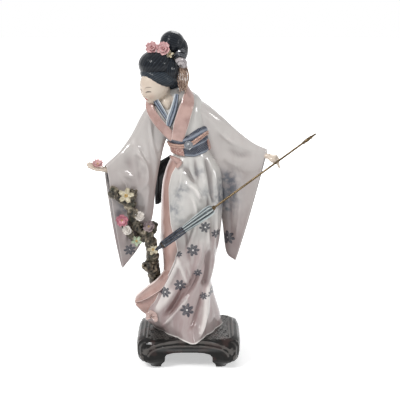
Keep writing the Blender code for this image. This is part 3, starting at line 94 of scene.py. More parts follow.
# Robe sections from the hem to the neck: height, middle x, middle y, half width,
# depth to the front, depth to the back, and the section's lean in degrees
ROBE_SECTIONS = np.array((
    (34.5, -3, 0, 38.5, 29, 27, 0), (45, -3.5, 0, 38.5, 28.5, 26, 0), (58, -2.5, 0, 36, 27.5, 25, 0),
    (74, -2.5, 0.5, 30, 26.5, 24, 0), (92, -2, 1, 27.5, 25.5, 23, 0), (112, 0.2, 1, 28.5, 25.5, 23, 0),
    (140, 2, 1, 32.2, 26, 24, 0), (165, 3.2, 1, 33.8, 26, 24, 0), (188, 4.2, 1, 33.6, 26, 24, 0),
    (209, 5, 1, 32.5, 25, 23.5, 0), (222, 5.2, 1, 29.8, 23, 21.5, 0), (232, 5, 0, 25, 20.5, 19, 0),
    (242, 3.7, 0, 20.2, 18, 16.5, 2), (254, 0.8, 0, 19.8, 17.2, 15.8, 4), (266, -3, 0, 21.5, 17.8, 16, 6),
    (278, -8, 0, 25.5, 18.5, 16.5, 9), (288, -12, 1, 28.5, 17.5, 16.5, 12),
    (296, -15.2, 2, 26.2, 15, 15.5, 14), (302, -17.5, 3, 20.5, 12.5, 13.5, 15),
    (306.5, -18.8, 3.5, 14.2, 10.5, 11.5, 15), (309, -19.5, 4, 9.5, 9, 9.5, 15),
)) * (MM, MM, MM, MM, MM, MM, 1)

# Reach of the skirt near the hem at each height, by angle in degrees from the front
HEM_OUTLINES = (
    (34.5, (
        (-150, 33.5), (-121, 38.5), (-100, 37), (-64, 26.2), (-17, 29.2), (3, 41), (11, 48.5), (25, 38.5),
        (46, 32.2), (81, 33.5), (106, 44.2), (144, 39), (180, 34),
    )),
    (50, (
        (-150, 30), (-121, 35), (-95, 41), (-74, 47), (-40, 31.5), (-10, 30), (11, 38), (30, 31),
        (80, 33.5), (104, 40.5), (144, 35), (180, 30),
    )),
    (61, (
        (-150, 28.5), (-121, 32), (-98, 37), (-66, 46.2), (-38, 32.5), (-10, 28.5), (11, 32), (40, 28.5),
        (80, 31.5), (103, 36), (144, 31), (180, 28),
    )),
    (75, (
        (-150, 26), (-120, 28), (-95, 31), (-60, 38.5), (-34, 30), (-10, 27.5), (11, 28.5), (45, 28),
        (80, 30), (103, 32), (144, 28.5), (180, 25.5),
    )),
)


class Side(Enum):
    """Which way a fold or a painted blossom faces."""

    FRONT = -1.0
    BACK = 1.0


@dataclass(frozen=True)
class Fold:
    """A ridge or, with a negative height, a crease, along a line of (x, z) points."""

    side: Side
    height: float
    left: float
    right: float
    line: np.ndarray


def folds(side: Side, *rows: tuple[float, float, float, Line]) -> list[Fold]:
    """Folds of one side of the cloth.

    Args:
        side: The side that the folds are on.
        rows: Height, width to the left, width to the right and line of each, in millimetres.

    Returns:
        The folds, in metres.
    """
    return [Fold(side, *(MM * np.array(row[:3])), MM * np.array(row[3])) for row in rows]


def spots(front: Sequence[tuple], back: Sequence[tuple]) -> list[tuple]:
    """Painted spots on both sides of the cloth.

    Args:
        front: x, z and radius of each in millimetres, and its strength if it has one.
        back: The same for the back.

    Returns:
        Side, x, z, radius and strength of each, in metres.
    """
    return [(side, *(MM * length for length in row[:3]), *row[3:])
            for side, rows in ((Side.FRONT, front), (Side.BACK, back)) for row in rows]


SKIRT_FOLDS = folds(
    Side.FRONT,
    (-1.7, 2.2, 2.2, ((6.5, 240), (9, 230), (12, 212))),
    (-1.9, 2.2, 2.2, ((18, 240), (23.2, 220), (26.2, 188))),
    (1.6, 3, 3, ((12.5, 240), (16, 225), (19, 205))), (-1, 1.6, 1.6, ((0, 238), (1, 228), (4, 219))),
    (-2.1, 2.4, 3, ((-6.7, 232), (10, 209), (17.5, 194))),
    (2.6, 4.2, 2.8, ((-6, 214), (7, 208), (16.5, 192))), (2, 2.4, 2.4, ((2, 203), (7, 190), (12, 170))),
    (1.4, 1.8, 2.2, ((10.5, 214), (16, 203), (20.8, 192))),
    (1.8, 2.4, 2.4, ((14, 167), (20.5, 156), (21.5, 136))),
    (-2.5, 2.6, 2.6, ((14.5, 114), (7.5, 95), (-6, 77))),
    (-2.6, 3, 3, ((24, 138), (19.6, 112), (16, 88))), (-2.6, 2.8, 2.8, ((-3, 97), (-18, 72), (-29, 57))),
    (1.9, 2.4, 2.4, ((-13, 138), (-4.5, 108), (2, 91))),
    (1.8, 2.6, 2.6, ((-7, 128), (-20, 98), (-29, 83))),
    (2.2, 4.6, 4.6, ((-12, 96), (-24, 77), (-36, 60))), (2.3, 3.4, 3, ((18, 100), (20, 65), (11, 36))),
    (1.3, 3, 1.8, ((29, 225), (31, 180), (27, 120))),
    (-1.2, 1.8, 1.8, ((25.5, 228), (27.2, 190), (24, 140))),
    (1.2, 1.8, 1.8, ((15, 150), (13, 130), (6, 108))), (-1.2, 2, 2, ((-4, 165), (-1, 145), (2, 120))),
    (1.6, 1.4, 2.2, ((-8.8, 130), (-13.3, 116), (-18.9, 100), (-33.7, 66))),
    (1.9, 1.6, 2.8, ((19.6, 123), (15.2, 107), (6.4, 92), (-5.8, 76), (-19.3, 58), (-28.4, 45))),
    (-1.7, 2.4, 2.4, ((8.6, 116), (2, 98), (-11.4, 78), (-24.9, 59))),
    (1.5, 1.4, 2, ((-2.3, 123), (2, 109), (5.3, 98))),
    (1.7, 1.6, 2.6, ((28.3, 128), (25.1, 107), (18.5, 83), (16.3, 57), (13, 34))),
    (-1.5, 2.4, 2.4, ((21.7, 123), (19.6, 98), (11.9, 71), (1.8, 45))),
    (1.5, 1.6, 2.6, ((8.8, 233), (18.3, 211), (25.9, 183), (28.2, 149))),
    (1.2, 1.6, 2.2, ((0.3, 232), (8.7, 211), (14.1, 189))),
    (-1.4, 2, 2, ((13, 228), (21.5, 200), (22.7, 166))),
    (1.2, 1.8, 1.8, ((-5, 230), (-7.2, 211), (-14.8, 194))),
    (1.3, 1.6, 2, ((8.7, 169), (2.2, 149), (-4.5, 130))),
) + folds(
    Side.BACK,
    (2.2, 4.5, 4.5, ((-12, 200), (-16, 120), (-26, 40))),
    (-2, 3.2, 3.2, ((-4, 205), (-7, 120), (-14, 40))), (2.4, 4.5, 4.5, ((4, 205), (2, 120), (-4, 36))),
    (-2, 3.2, 3.2, ((12, 205), (10, 120), (9, 40))), (2.2, 4.5, 4.5, ((20, 200), (19, 120), (23, 40))),
)

# Left edge of the white front panel, which lies over the pink lining
PANEL_EDGE = MM * np.array((
    (-8.1, 245), (-8.1, 235.5), (-16.7, 221.3), (-20, 205.8), (-19.7, 189.1), (-18.3, 166.5),
    (-13, 145.9), (-10.9, 135.5), (-13.3, 127.4), (-19.9, 108.6), (-27.8, 90.9), (-35.7, 74.8),
    (-45.9, 60.9), (-48, 50),
))

# The figure's own right and left sleeve: top edge, bottom edge, and then half thickness round
# the arm, half thickness of the hanging bag, and how far the middle bows sideways
RIGHT_SLEEVE = (
    ((-29, 0, 299), (-20, 0, 265), (13, 10, 0)), ((-45, -3, 288.5), (-27, -2, 244), (13, 9.5, 0)),
    ((-60, -8, 262), (-35, -6, 206), (11.2, 7, 0)), ((-70, -14, 248), (-40.5, -10, 166), (10, 6, 0)),
    ((-79, -19, 239.5), (-55, -13, 136), (9.6, 5.6, -1)),
    ((-86.8, -23, 233), (-72.5, -15, 113), (9.2, 5.2, -1.8)),
)
LEFT_SLEEVE = (
    ((1, 1, 303), (4, 0, 265), (14, 11, 0)), ((19, 1, 294), (17, 4, 244), (14, 10, 0)),
    ((37, 1, 279), (33, 9, 196), (11.6, 7.2, 0)), ((52, -2, 265.5), (38.5, 10, 156), (10.2, 6, 0)),
    ((69, -8, 253.5), (42.8, 8, 123.5), (9.6, 5.6, 0)),
    ((84.2, -12, 247), (52.5, 6, 114), (9.2, 5.2, -1)),
)
SLEEVE_FOLDS = folds(
    Side.FRONT,
    (2.2, 2.4, 4.2, ((-60, 257), (-50, 238), (-51, 219))),
    (1.6, 2, 2.4, ((-75, 226), (-64, 220), (-55, 215))),
    (-1.4, 4.6, 4.6, ((-64, 246), (-62, 232), (-58, 224))),
    (1.3, 3.4, 3.4, ((-45, 262), (-42, 220), (-47, 170))),
    (-1.2, 3.6, 3.6, ((-56, 210), (-60, 170), (-64, 130))),
    (1.7, 3, 3, ((30, 270), (44, 256), (54, 250))), (-1.3, 3, 3, ((40, 246), (56, 240), (70, 243))),
    (1.4, 3, 3, ((36, 236), (52, 230), (68, 236))), (-1.2, 3.6, 3.6, ((42, 222), (46, 180), (48, 140))),
    (1.4, 4, 4, ((54, 215), (54, 180), (53, 140))),
    (1.6, 1.6, 2.4, ((-59.3, 245), (-49.8, 239), (-44.7, 227), (-45, 212), (-51.7, 201))),
    (-1.3, 2.2, 2.2, ((-55.2, 238), (-51.2, 225), (-53.6, 210))),
    (1.3, 1.8, 2.2, ((-72.5, 223), (-64.4, 203), (-65, 175), (-70.2, 141))),
    (1.4, 1.6, 2.2, ((-40, 280), (-38.3, 256), (-33.2, 234))),
    (1.4, 1.6, 2.4, ((36.6, 262), (56.1, 250), (79.9, 244))),
    (1.3, 1.6, 2.2, ((45.6, 226), (61.9, 225), (76.1, 221))),
    (1.3, 1.8, 2.2, ((52.5, 208), (57.2, 180), (53.2, 145))),
) + folds(
    Side.BACK,
    (1.6, 4.6, 4.6, ((-50, 260), (-52, 200), (-62, 140))),
    (-1.4, 4, 4, ((-60, 240), (-64, 190), (-68, 135))),
    (1.6, 4.6, 4.6, ((42, 250), (46, 200), (46, 140))), (-1.4, 4, 4, ((56, 240), (56, 190), (52, 140))),
)

# Painted blossoms on the cloth: x, z and radius
PAINTED_BLOSSOMS = spots(
    front=(
        (5.4, 137.2, 6.6), (18.4, 163.1, 5.6), (30.3, 153.9, 4.6), (10.5, 109.8, 4.4), (-9, 95.7, 6.4),
        (-25.6, 87.3, 5.6), (-1.4, 68.2, 7), (16.9, 81.4, 4), (26.3, 82.6, 4.4), (-10, 133, 3.4),
        (44, 142.5, 7.4), (-64, 135, 6),
    ),
    back=(
        (6, 126, 6.6), (-14, 100, 6), (20, 85, 6.4), (1, 64, 6.8), (-23, 66, 5.6), (46, 145, 6.6),
        (-60, 142, 6.4), (48, 190, 5.4), (-53, 190, 5.2),
    ),
)

# Soft washes of blue-grey: x, z, radius and strength
WASHES = spots(
    front=(
        (-5.1, 206.9, 5.2, 0.5), (-15, 183, 6.2, 0.55), (-8.5, 169.9, 5, 0.35), (11.9, 224.6, 5, 0.45),
        (20, 202, 5, 0.4), (-10, 199, 5, 0.35), (43.3, 210, 8, 0.8), (43, 194, 8.5, 0.85),
        (42, 178, 7, 0.6), (33, 190, 5, 0.55), (-65, 186, 7.5, 0.6), (-72, 176, 6, 0.45),
    ),
    back=(
        (43, 200, 9, 0.7), (-54, 205, 8.5, 0.6), (6, 170, 9, 0.45),
    ),
)

HEAD_MIDDLE = np.array((-0.0345, -0.0075, 0.3145))
HEAD_FACING = np.array((-0.62, -0.7, -0.3))
HEAD_CROWN = np.array((-0.08, -0.26, 1.0))
HEAD_SIZE = np.array((0.029, 0.034, 0.04))

# Neck and chest sections from the point of the V up: middle, half width and half depth
NECK_SECTIONS = MM * np.array((
    (-20.5, -11, 289.5, 2.2, 3.5), (-21, -8.5, 294, 6.6, 7.2), (-21.8, -6, 299, 9.2, 9.2),
    (-23, -3.5, 303.5, 8.4, 8.8), (-24.5, -2, 307, 7.2, 7.8), (-27.5, -2, 316, 7, 7.6),
))

GRIP_POINT = np.array((0.0975, -0.024, 0.2385))
SHAFT_DIRECTION = np.array((0.804, 0.076, 0.589)) / np.linalg.norm((0.804, 0.076, 0.589))
GRIP_TO_CANOPY = 0.0881
GRIP_TO_END = 0.0465


def smooth(value: np.ndarray | float) -> np.ndarray:
    """A soft step from 0 to 1."""
    held = np.clip(value, 0.0, 1.0)
    return held * held * (3.0 - 2.0 * held)


def full_turn(count: int) -> np.ndarray:
    """Even angles once round, without the last."""
    return np.linspace(0.0, 2 * np.pi, count, endpoint=False)


def curve_through(points: Iterable[Sequence[float]], steps: int) -> np.ndarray:
    """A smooth curve through points of any number of values.

    Args:
        points: The points, first to last.
        steps: How many stops each span gets.

    Returns:
        One row for each stop.
    """
    rows = np.array([tuple(p) for p in points], dtype=float)
    ends = np.vstack([2 * rows[0] - rows[1], rows, 2 * rows[-1] - rows[-2]])
    out = []
    for i in range(1, len(ends) - 2):
        a, b, c, d = ends[i - 1:i + 3]
        for k in range(steps):
            t = k / steps
            out.append(0.5 * (2 * b + (c - a) * t + (2 * a - 5 * b + 4 * c - d) * t * t
                              + (3 * b - a - 3 * c + d) * t ** 3))
    out.append(rows[-1])
    return np.array(out)


def unit(vector: Sequence[float]) -> np.ndarray:
    """The vector at length one."""
    found = np.asarray(vector, dtype=float)
    return found / np.linalg.norm(found)


@dataclass
class Shape:
    """Vertices and faces of a piece before it is made a mesh, with its attributes."""

    verts: np.ndarray
    quads: np.ndarray
    tris: np.ndarray
    values: dict[str, np.ndarray] = field(default_factory=dict)

    @staticmethod
    def loft(rings: np.ndarray, **values: np.ndarray) -> "Shape":
        """A closed skin through rings of points, with a fan over each end.

        Args:
            rings: Rings by points by three.
            values: An attribute value for each point of each ring.

        Returns:
            The closed shape.
        """
        rows, count = rings.shape[:2]
        ends = np.stack([rings[0].mean(axis=0), rings[-1].mean(axis=0)])
        base = np.arange(rows - 1)[:, None] * count
        here, there = np.arange(count)[None, :], (np.arange(count)[None, :] + 1) % count
        quads = np.stack([base + here, base + there, base + count + there, base + count + here], -1)
        low, high, last = rows * count, rows * count + 1, (rows - 1) * count
        here, there = here[0], there[0]
        tris = np.concatenate([
            np.stack([np.full(count, low), there, here], -1),
            np.stack([np.full(count, high), last + here, last + there], -1),
        ])
        kept = {}
        for name, value in values.items():
            grid = np.broadcast_to(value, rings.shape[:2] + value.shape[2:])
            flat = grid.reshape(rows * count, *grid.shape[2:])
            kept[name] = np.concatenate([flat, grid[0].mean(axis=0)[None], grid[-1].mean(axis=0)[None]])
        return Shape(np.concatenate([rings.reshape(-1, 3), ends]), quads.reshape(-1, 4), tris, kept)

    def outward(self) -> "Shape":
        """The same shape with its faces turned out.

        Returns:
            The shape, with its faces reversed if it was inside out.
        """
        halves = np.concatenate([self.quads[:, :3], self.quads[:, [0, 2, 3]], self.tris])
        a, b, c = (self.verts[halves[:, k]] for k in range(3))
        if np.einsum("ij,ij->i", a, np.cross(b, c)).sum() < 0.0:
            return Shape(self.verts, self.quads[:, ::-1], self.tris[:, ::-1], self.values)
        return self

    def join(self, other: "Shape") -> "Shape":
        """Both shapes as one, with the attributes that both have.

        Args:
            other: The other shape.

        Returns:
            The joined shape.
        """
        count = len(self.verts)
        values = {name: np.concatenate([self.values[name], other.values[name]])
                  for name in self.values if name in other.values}
        return Shape(np.concatenate([self.verts, other.verts]),
                     np.concatenate([self.quads, other.quads + count]),
                     np.concatenate([self.tris, other.tris + count]), values)


def frames_along(points: np.ndarray) -> tuple[np.ndarray, np.ndarray, np.ndarray]:
    """Tangent and two cross directions along a path, turning as little as possible.

    Args:
        points: The path's points.

    Returns:
        Tangents, sides and the third directions, one row for each point.
    """
    tangents = np.gradient(points, axis=0)
    tangents /= np.linalg.norm(tangents, axis=1)[:, None]
    side = np.array(Vector(tangents[0]).orthogonal().normalized())
    sides = []
    for tangent in tangents:
        side = unit(side - tangent * side.dot(tangent))
        sides.append(side)
    return tangents, np.array(sides), np.cross(tangents, np.array(sides))


def bar(points: np.ndarray, radii: np.ndarray, rounds: int = 24, **values: np.ndarray) -> Shape:
    """A round bar along a path.

    Args:
        points: The path's points.
        radii: The bar's radius at each.
        rounds: How many points go round it.
        values: Attributes by ring and point.

    Returns:
        The closed bar.
    """
    _, sides, others = frames_along(points)
    turn = full_turn(rounds)
    rings = (points[:, None] + radii[:, None, None] * (np.cos(turn)[None, :, None] * sides[:, None]
                                                       + np.sin(turn)[None, :, None] * others[:, None]))
    return Shape.loft(rings, **values).outward()


def rounded_ends(points: np.ndarray, radii: np.ndarray) -> tuple[np.ndarray, np.ndarray]:
    """Adds stops that close a bar's two ends in a quarter round.

    Args:
        points: The bar's path.
        radii: Its radius at each point.

    Returns:
        The longer path and its radii.
    """
    start, end = unit(points[0] - points[1]), unit(points[-1] - points[-2])
    turns = (0.35, 0.7, 0.92)
    head = [points[0] + start * radii[0] * t for t in reversed(turns)]
    tail = [points[-1] + end * radii[-1] * t for t in turns]
    shut = [math.sqrt(1.0 - t * t) for t in turns]
    return (np.vstack([head, points, tail]),
            np.concatenate([[radii[0] * s for s in reversed(shut)], radii, [radii[-1] * s for s in shut]]))


def relief(cloth_folds: Sequence[Fold], points: np.ndarray, facing: np.ndarray) -> np.ndarray:
    """How far the folds push the cloth out.

    Args:
        cloth_folds: The folds.
        points: Points on the plain cloth.
        facing: The y part of the way that the cloth faces at each.

    Returns:
        A distance for each point.
    """
    total = np.zeros(len(points))
    px, pz = points[:, 0], points[:, 2]
    for fold in cloth_folds:
        weight = smooth(0.5 + 1.4 * facing * fold.side.value)
        near = np.full(len(points), 1.0)
        signed, along, run = np.zeros_like(near), np.zeros_like(near), 0.0
        line = curve_through(fold.line, 5)
        for (x0, z0), (x1, z1) in zip(line, line[1:]):
            length = math.hypot(x1 - x0, z1 - z0)
            share = np.clip(((px - x0) * (x1 - x0) + (pz - z0) * (z1 - z0)) / length ** 2, 0.0, 1.0)
            dx, dz = px - x0 - share * (x1 - x0), pz - z0 - share * (z1 - z0)
            distance = np.hypot(dx, dz)
            closer = distance < near
            near = np.where(closer, distance, near)
            along = np.where(closer, run + share * length, along)
            signed = np.where(closer, dx, signed)
            run += length
        width = np.where(signed > 0, fold.right, fold.left)
        ends = smooth(np.minimum(along, run - along) / FOLD_FADE + 0.15)
        total += weight * ends * fold.height * np.exp(-(near / width) ** 2)
    return total


def painted(points: np.ndarray, facing: np.ndarray) -> dict[str, np.ndarray]:
    """Where the cloth's blossoms and washes lie, as attributes.

    Args:
        points: Points on the cloth.
        facing: The y part of the way that the cloth faces at each.

    Returns:
        Distance to the nearest blossom in radii, the way from its middle, and the wash.
    """
    reach = np.full(len(points), 9.0)
    way = np.zeros((len(points), 3))
    for k, (side, x, z, radius) in enumerate(PAINTED_BLOSSOMS):
        dx, dz = (points[:, 0] - x) / radius, (points[:, 2] - z) / radius
        distance = np.hypot(dx, dz) + np.where(facing * side.value > -0.05, 0.0, 9.0)
        closer = distance < reach
        reach = np.where(closer, distance, reach)
        spun = np.stack([dx, np.full_like(dx, 0.37 * k), dz], -1)
        way = np.where(closer[:, None], spun, way)
    wash = np.zeros(len(points))
    for side, x, z, radius, strength in WASHES:
        near = ((points[:, 0] - x) ** 2 + (points[:, 2] - z) ** 2) / (1.3 * radius) ** 2
        wash += 1.25 * strength * np.exp(-near) * smooth(0.5 + 2.0 * facing * side.value)
    return {"blossom_reach": reach, "blossom_way": way, "wash": wash}


def placed(name: str, data: bpy.types.ID) -> bpy.types.Object:
    """A new object in the scene, with this data.

    Args:
        name: The object's name.
        data: Its mesh, light or camera.

    Returns:
        The object.
    """
    obj = bpy.data.objects.new(name, data)
    bpy.context.scene.collection.objects.link(obj)
    return obj


@dataclass(frozen=True, eq=False)
class Level:
    """A number that a node gives, with which sums are written as they are read."""

    graph: "Graph"
    socket: Socket

    def math(self, kind: str, *others: "Level | Socket | float") -> "Level":
        """A Math node's result.

        Args:
            kind: The node's operation.
            others: What comes after this number in its inputs.

        Returns:
            The result.
        """
        node = self.graph.add("ShaderNodeMath", dict(enumerate((self, *others))), operation=kind)
        return Level(self.graph, node.outputs[0])

    def __add__(self, other: "Level | float") -> "Level":
        """The sum."""
        return self.math("ADD", other)

    def __sub__(self, other: "Level | float") -> "Level":
        """The difference."""
        return self.math("SUBTRACT", other)

    def __mul__(self, other: "Level | float") -> "Level":
        """The product."""
        return self.math("MULTIPLY", other)

    def __truediv__(self, other: "Level | float") -> "Level":
        """The quotient."""
        return self.math("DIVIDE", other)

    def between(self, low: float, high: float) -> "Level":
        """The soft share of the way from low to high, held to 0 and 1.

        Args:
            low: Where the share is 0, which may be the larger number.
            high: Where it is 1.

        Returns:
            The share.
        """
        inputs = {"Value": self, "From Min": low, "From Max": high}
        node = self.graph.add("ShaderNodeMapRange", inputs, interpolation_type="SMOOTHSTEP")
        return Level(self.graph, node.outputs["Result"])


class Graph:
    """A node tree, with short calls that add to it."""

    def __init__(self, tree: bpy.types.NodeTree) -> None:
        """Takes a tree.

        Args:
            tree: The node tree to add to.
        """
        self.tree = tree

    def feed(self, socket: Socket, value: Level | Socket | float | tuple | bpy.types.ID) -> None:
        """Links or sets one input.

        Args:
            socket: The input.
            value: What it is linked to, or its value.
        """
        if isinstance(value, Level):
            value = value.socket
        if isinstance(value, bpy.types.NodeSocket):
            self.tree.links.new(value, socket)
        elif socket.type == "RGBA":
            socket.default_value = (*value, 1.0)
        else:
            socket.default_value = value

    def add(self, kind: str, inputs: dict | None = None, **settings: str) -> bpy.types.Node:
        """Adds a node.

        Args:
            kind: The node's type.
            inputs: What goes into its inputs, by name or number.
            settings: The node's own settings.

        Returns:
            The node.
        """
        node = self.tree.nodes.new(kind)
        for name, value in settings.items():
            setattr(node, name, value)
        for key, value in (inputs or {}).items():
            self.feed(node.inputs[key], value)
        return node

    def open(self, way: str, **kinds: str) -> None:
        """Gives a Geometry Nodes tree its inputs or outputs.

        Args:
            way: INPUT or OUTPUT.
            kinds: The kind of each, by name.
        """
        for label, kind in kinds.items():
            self.tree.interface.new_socket(label, in_out=way, socket_type="NodeSocket" + kind)

    def finish(self, instances: bpy.types.Node, material: bpy.types.Material) -> Socket:
        """Makes instances real and gives them their material.

        Args:
            instances: The node that lays them out.
            material: The material.

        Returns:
            The finished geometry.
        """
        real = self.add("GeometryNodeRealizeInstances", {0: instances.outputs[0]})
        return self.add("GeometryNodeSetMaterial", {0: real.outputs[0], "Material": material}).outputs[0]


class Paint(Graph):
    """A material's node tree round one Principled shader, with the nodes that the glazes use."""

    def __init__(self, name: str, roughness: float, coat: float = 0.0, metallic: float = 0.0,
                 coat_ior: float = 1.4, gloss: float = 0.25) -> None:
        """Starts a material with one Principled shader.

        Args:
            name: The material's name.
            roughness: Roughness of the body below the glaze.
            coat: Weight of the clear glaze.
            metallic: One for bare metal.
            coat_ior: How strongly the clear glaze mirrors.
            gloss: How strongly the body below it mirrors.
        """
        self.material = bpy.data.materials.new(name)
        self.material.use_nodes = True
        super().__init__(self.material.node_tree)
        self.shader = self.tree.nodes["Principled BSDF"]
        settings = {"Roughness": roughness, "Coat Weight": coat, "Coat Roughness": COAT_ROUGHNESS,
                    "Coat IOR": coat_ior, "Specular IOR Level": gloss, "Metallic": metallic}
        for label, value in settings.items():
            self.shader.inputs[label].default_value = value
        self.place = self.add("ShaderNodeTexCoord").outputs["Object"]

    def mix(self, share: Level | float, first: Socket | Colour, second: Socket | Colour) -> Socket:
        """Two colours mixed."""
        return self.add("ShaderNodeMix", {0: share, 6: first, 7: second}, data_type="RGBA").outputs[2]

    def noise(self, scale: float, detail: float = 3.0, stretch: tuple = (1.0, 1.0, 1.0)) -> Level:
        """Noise on the piece's own coordinates.

        Args:
            scale: Lumps to the metre.
            detail: How many finer layers it has.
            stretch: The scale's share along each axis.

        Returns:
            The noise, from 0 to 1.
        """
        vector = self.add("ShaderNodeMapping", {"Vector": self.place, "Scale": stretch}).outputs["Vector"]
        node = self.add("ShaderNodeTexNoise", {"Vector": vector, "Scale": scale, "Detail": detail})
        return Level(self, node.outputs["Fac"])

    def value_of(self, name: str) -> Level:
        """A number that the piece carries."""
        return Level(self, self.add("ShaderNodeAttribute", attribute_name=name).outputs["Fac"])

    def parts_of(self, name: str | None = None) -> list[Level]:
        """The x, y and z of a vector.

        Args:
            name: The vector that the piece carries, or None for the piece's place.

        Returns:
            Its three parts.
        """
        vector = self.place
        if name is not None:
            vector = self.add("ShaderNodeAttribute", attribute_name=name).outputs["Vector"]
        return [Level(self, part) for part in self.add("ShaderNodeSeparateXYZ", {0: vector}).outputs]

    def bump(self, height: Level, depth: float, strength: float = 1.0) -> None:
        """Lets a height field roughen the surface."""
        node = self.add("ShaderNodeBump", {"Strength": strength, "Distance": depth, "Height": height})
        self.feed(self.shader.inputs["Normal"], node.outputs["Normal"])

    def done(self, colour: Socket | Colour, roughness: Level | None = None) -> bpy.types.Material:
        """Sets the colour and hands the material over.

        Args:
            colour: The base colour.
            roughness: The roughness, where it varies.

        Returns:
            The material.
        """
        self.feed(self.shader.inputs["Base Color"], colour)
        if roughness is not None:
            self.feed(self.shader.inputs["Roughness"], roughness)
        return self.material


@dataclass(frozen=True)
class PlainGlaze:
    """A glaze of two close tones, with the mottling of fired colour."""

    name: str
    light: Colour
    dark: Colour
    grain: float
    roughness: float
    coat: float

    def build(self) -> bpy.types.Material:
        """Makes the material.

        Returns:
            The material.
        """
        paint = Paint(self.name, self.roughness, self.coat)
        patches = paint.noise(self.grain, 4.0)
        colour = paint.mix(patches.between(0.3, 0.7), self.dark, self.light)
        return paint.done(colour, patches * 0.1 + (self.roughness - 0.05))


@dataclass(frozen=True)
class RobeGlaze:
    """Pale grey glaze that blushes to mauve towards the bottom, with painted shade of grey and mauve-brown in
    its folds, painted highlights on their crests, along the panel's edge and on the hem, and painted ink
    blossoms.
    """

    name: str = "robe_glaze"
    pale: Colour = (0.58, 0.565, 0.54)
    # grey: the colour of the painted shade in the folds, and of the sleeves' darker tone
    grey: Colour = (0.29, 0.265, 0.255)
    mauve: Colour = (0.31, 0.215, 0.215)
    # fold: the deepest painted shade in the folds, low on the skirt
    fold: Colour = (0.215, 0.14, 0.135)
    ink: Colour = (0.013, 0.018, 0.033)
    wash: Colour = (0.115, 0.128, 0.155)
    lining: Colour = (0.5, 0.335, 0.295)
    lining_deep: Colour = (0.35, 0.215, 0.19)
    # rim: the pale colour of the painted highlights on the fold crests, the panel's edge and the hem, and of
    # the blossoms' white middles
    rim: Colour = (0.8, 0.76, 0.73)
    lining_width: float = 0.034

    def blossoms(self, paint: Paint) -> tuple[Level, Level]:
        """Painted blossoms of soft ragged petals.

        Args:
            paint: The material's tree.

        Returns:
            How much ink there is, and how much of a white middle.
        """
        reach = paint.value_of("blossom_reach")
        x, spin, z = paint.parts_of("blossom_way")
        lobes = ((z.math("ARCTAN2", x) + spin) * 3.5).math("COSINE").math("ABSOLUTE")
        ragged = paint.noise(620.0) * 0.34 - 0.17
        ink = (lobes * 0.52 + 0.62 + ragged - reach).between(-0.06, 0.12)
        vein = paint.noise(900.0, 2.0).between(0.35, 0.7) * 0.25 + 0.75
        return ink * vein, reach.between(0.2, 0.1)

    def build(self) -> bpy.types.Material:
        """Makes the material.

        Returns:
            The material.
        """
        paint = Paint(self.name, 0.32, 0.9)
        height = paint.parts_of()[2]
        folds_out = paint.value_of("relief")
        clouds = paint.noise(38.0, 4.0)
        low = height.between(0.215, 0.085)
        blush = (low * 0.75 + clouds * 0.9 - 0.45).between(0.15, 0.85) * 0.7
        body = paint.mix(blush, self.pale, self.mauve)
        streaks = paint.noise(170.0, 3.0, (1.0, 1.0, 0.16)).between(0.42, 0.66)
        body = paint.mix(streaks * (height.between(0.176, 0.15) * 0.5 + 0.08), body, self.mauve)
        # Painted shade: the creases of the folds darken to grey, and to mauve-brown low on the skirt
        shadow = folds_out.between(0.0003, -0.0019)
        body = paint.mix(shadow * 0.95, body, paint.mix(low, self.grey, self.fold))
        # Painted highlight: the crests of the folds pale towards the rim colour
        crest = folds_out.between(0.001, 0.0038)
        body = paint.mix(crest * 0.72, body, self.rim)
        # The sleeves darken to grey and mauve, more towards their bottoms: the kimono's own gradient, with
        # painted shade
        body = paint.mix(paint.value_of("sleeve_tone"), body, paint.mix(clouds, self.grey, self.mauve))
        torn = paint.noise(170.0, 5.0).between(0.35, 0.65) * 0.9 + 0.25
        body = paint.mix((paint.value_of("wash") * torn).math("MINIMUM", 0.9), body, self.wash)
        ink, middle = self.blossoms(paint)
        body = paint.mix(middle, paint.mix(ink, body, self.ink), self.rim)
        edge = paint.value_of("panel")
        shown = edge.between(0.0001, -0.0002) * edge.between(-self.lining_width, -self.lining_width + 0.0004)
        patches = paint.noise(60.0, 4.0, (1.0, 1.0, 0.3)).between(0.35, 0.65)
        # The lining takes the same painted highlight on the fold crests
        lining = paint.mix(crest * 0.6, paint.mix(patches, self.lining_deep, self.lining), self.rim)
        colour = paint.mix(shown, body, lining)
        # Painted highlight: a thin pale line along the panel's edge
        panel_edge_highlight = (edge - 0.0004).math("ABSOLUTE").between(0.0009, 0.0003)
        colour = paint.mix(panel_edge_highlight, colour, self.rim)
        # Painted highlight: a pale line along the hem, and a faint one at the sleeves' cuffs
        colour = paint.mix(paint.value_of("hem").between(0.0017, 0.001) * 0.85, colour, self.rim)
        paint.bump(paint.noise(420.0, 2.0), 0.00003)
        return paint.done(colour, clouds * 0.12 + 0.24)


@dataclass(frozen=True)
class LiningGlaze:
    """Dusty pink glaze of the lining and the collars, with a paler painted highlight along its rims."""

    name: str = "lining_glaze"
    light: Colour = (0.5, 0.335, 0.295)
    deep: Colour = (0.35, 0.215, 0.19)
    # rim: colour of the painted highlight, and of the ruffle's paler tint
    rim: Colour = (0.8, 0.68, 0.64)

    def build(self) -> bpy.types.Material:
        """Makes the material, with a painted highlight where the attribute "rim" is one.

        Returns:
            The material.
        """
        paint = Paint(self.name, 0.32, 0.9)
        patches = paint.noise(75.0, 4.0).between(0.3, 0.7)
        colour = paint.mix(patches, self.deep, self.light)
        # Painted highlight where the attribute "rim" is high
        colour = paint.mix(paint.value_of("rim").between(0.55, 0.85), colour, self.rim)
        paint.bump(paint.noise(420.0, 2.0), 0.00003)
        return paint.done(colour, patches * 0.08 + 0.26)


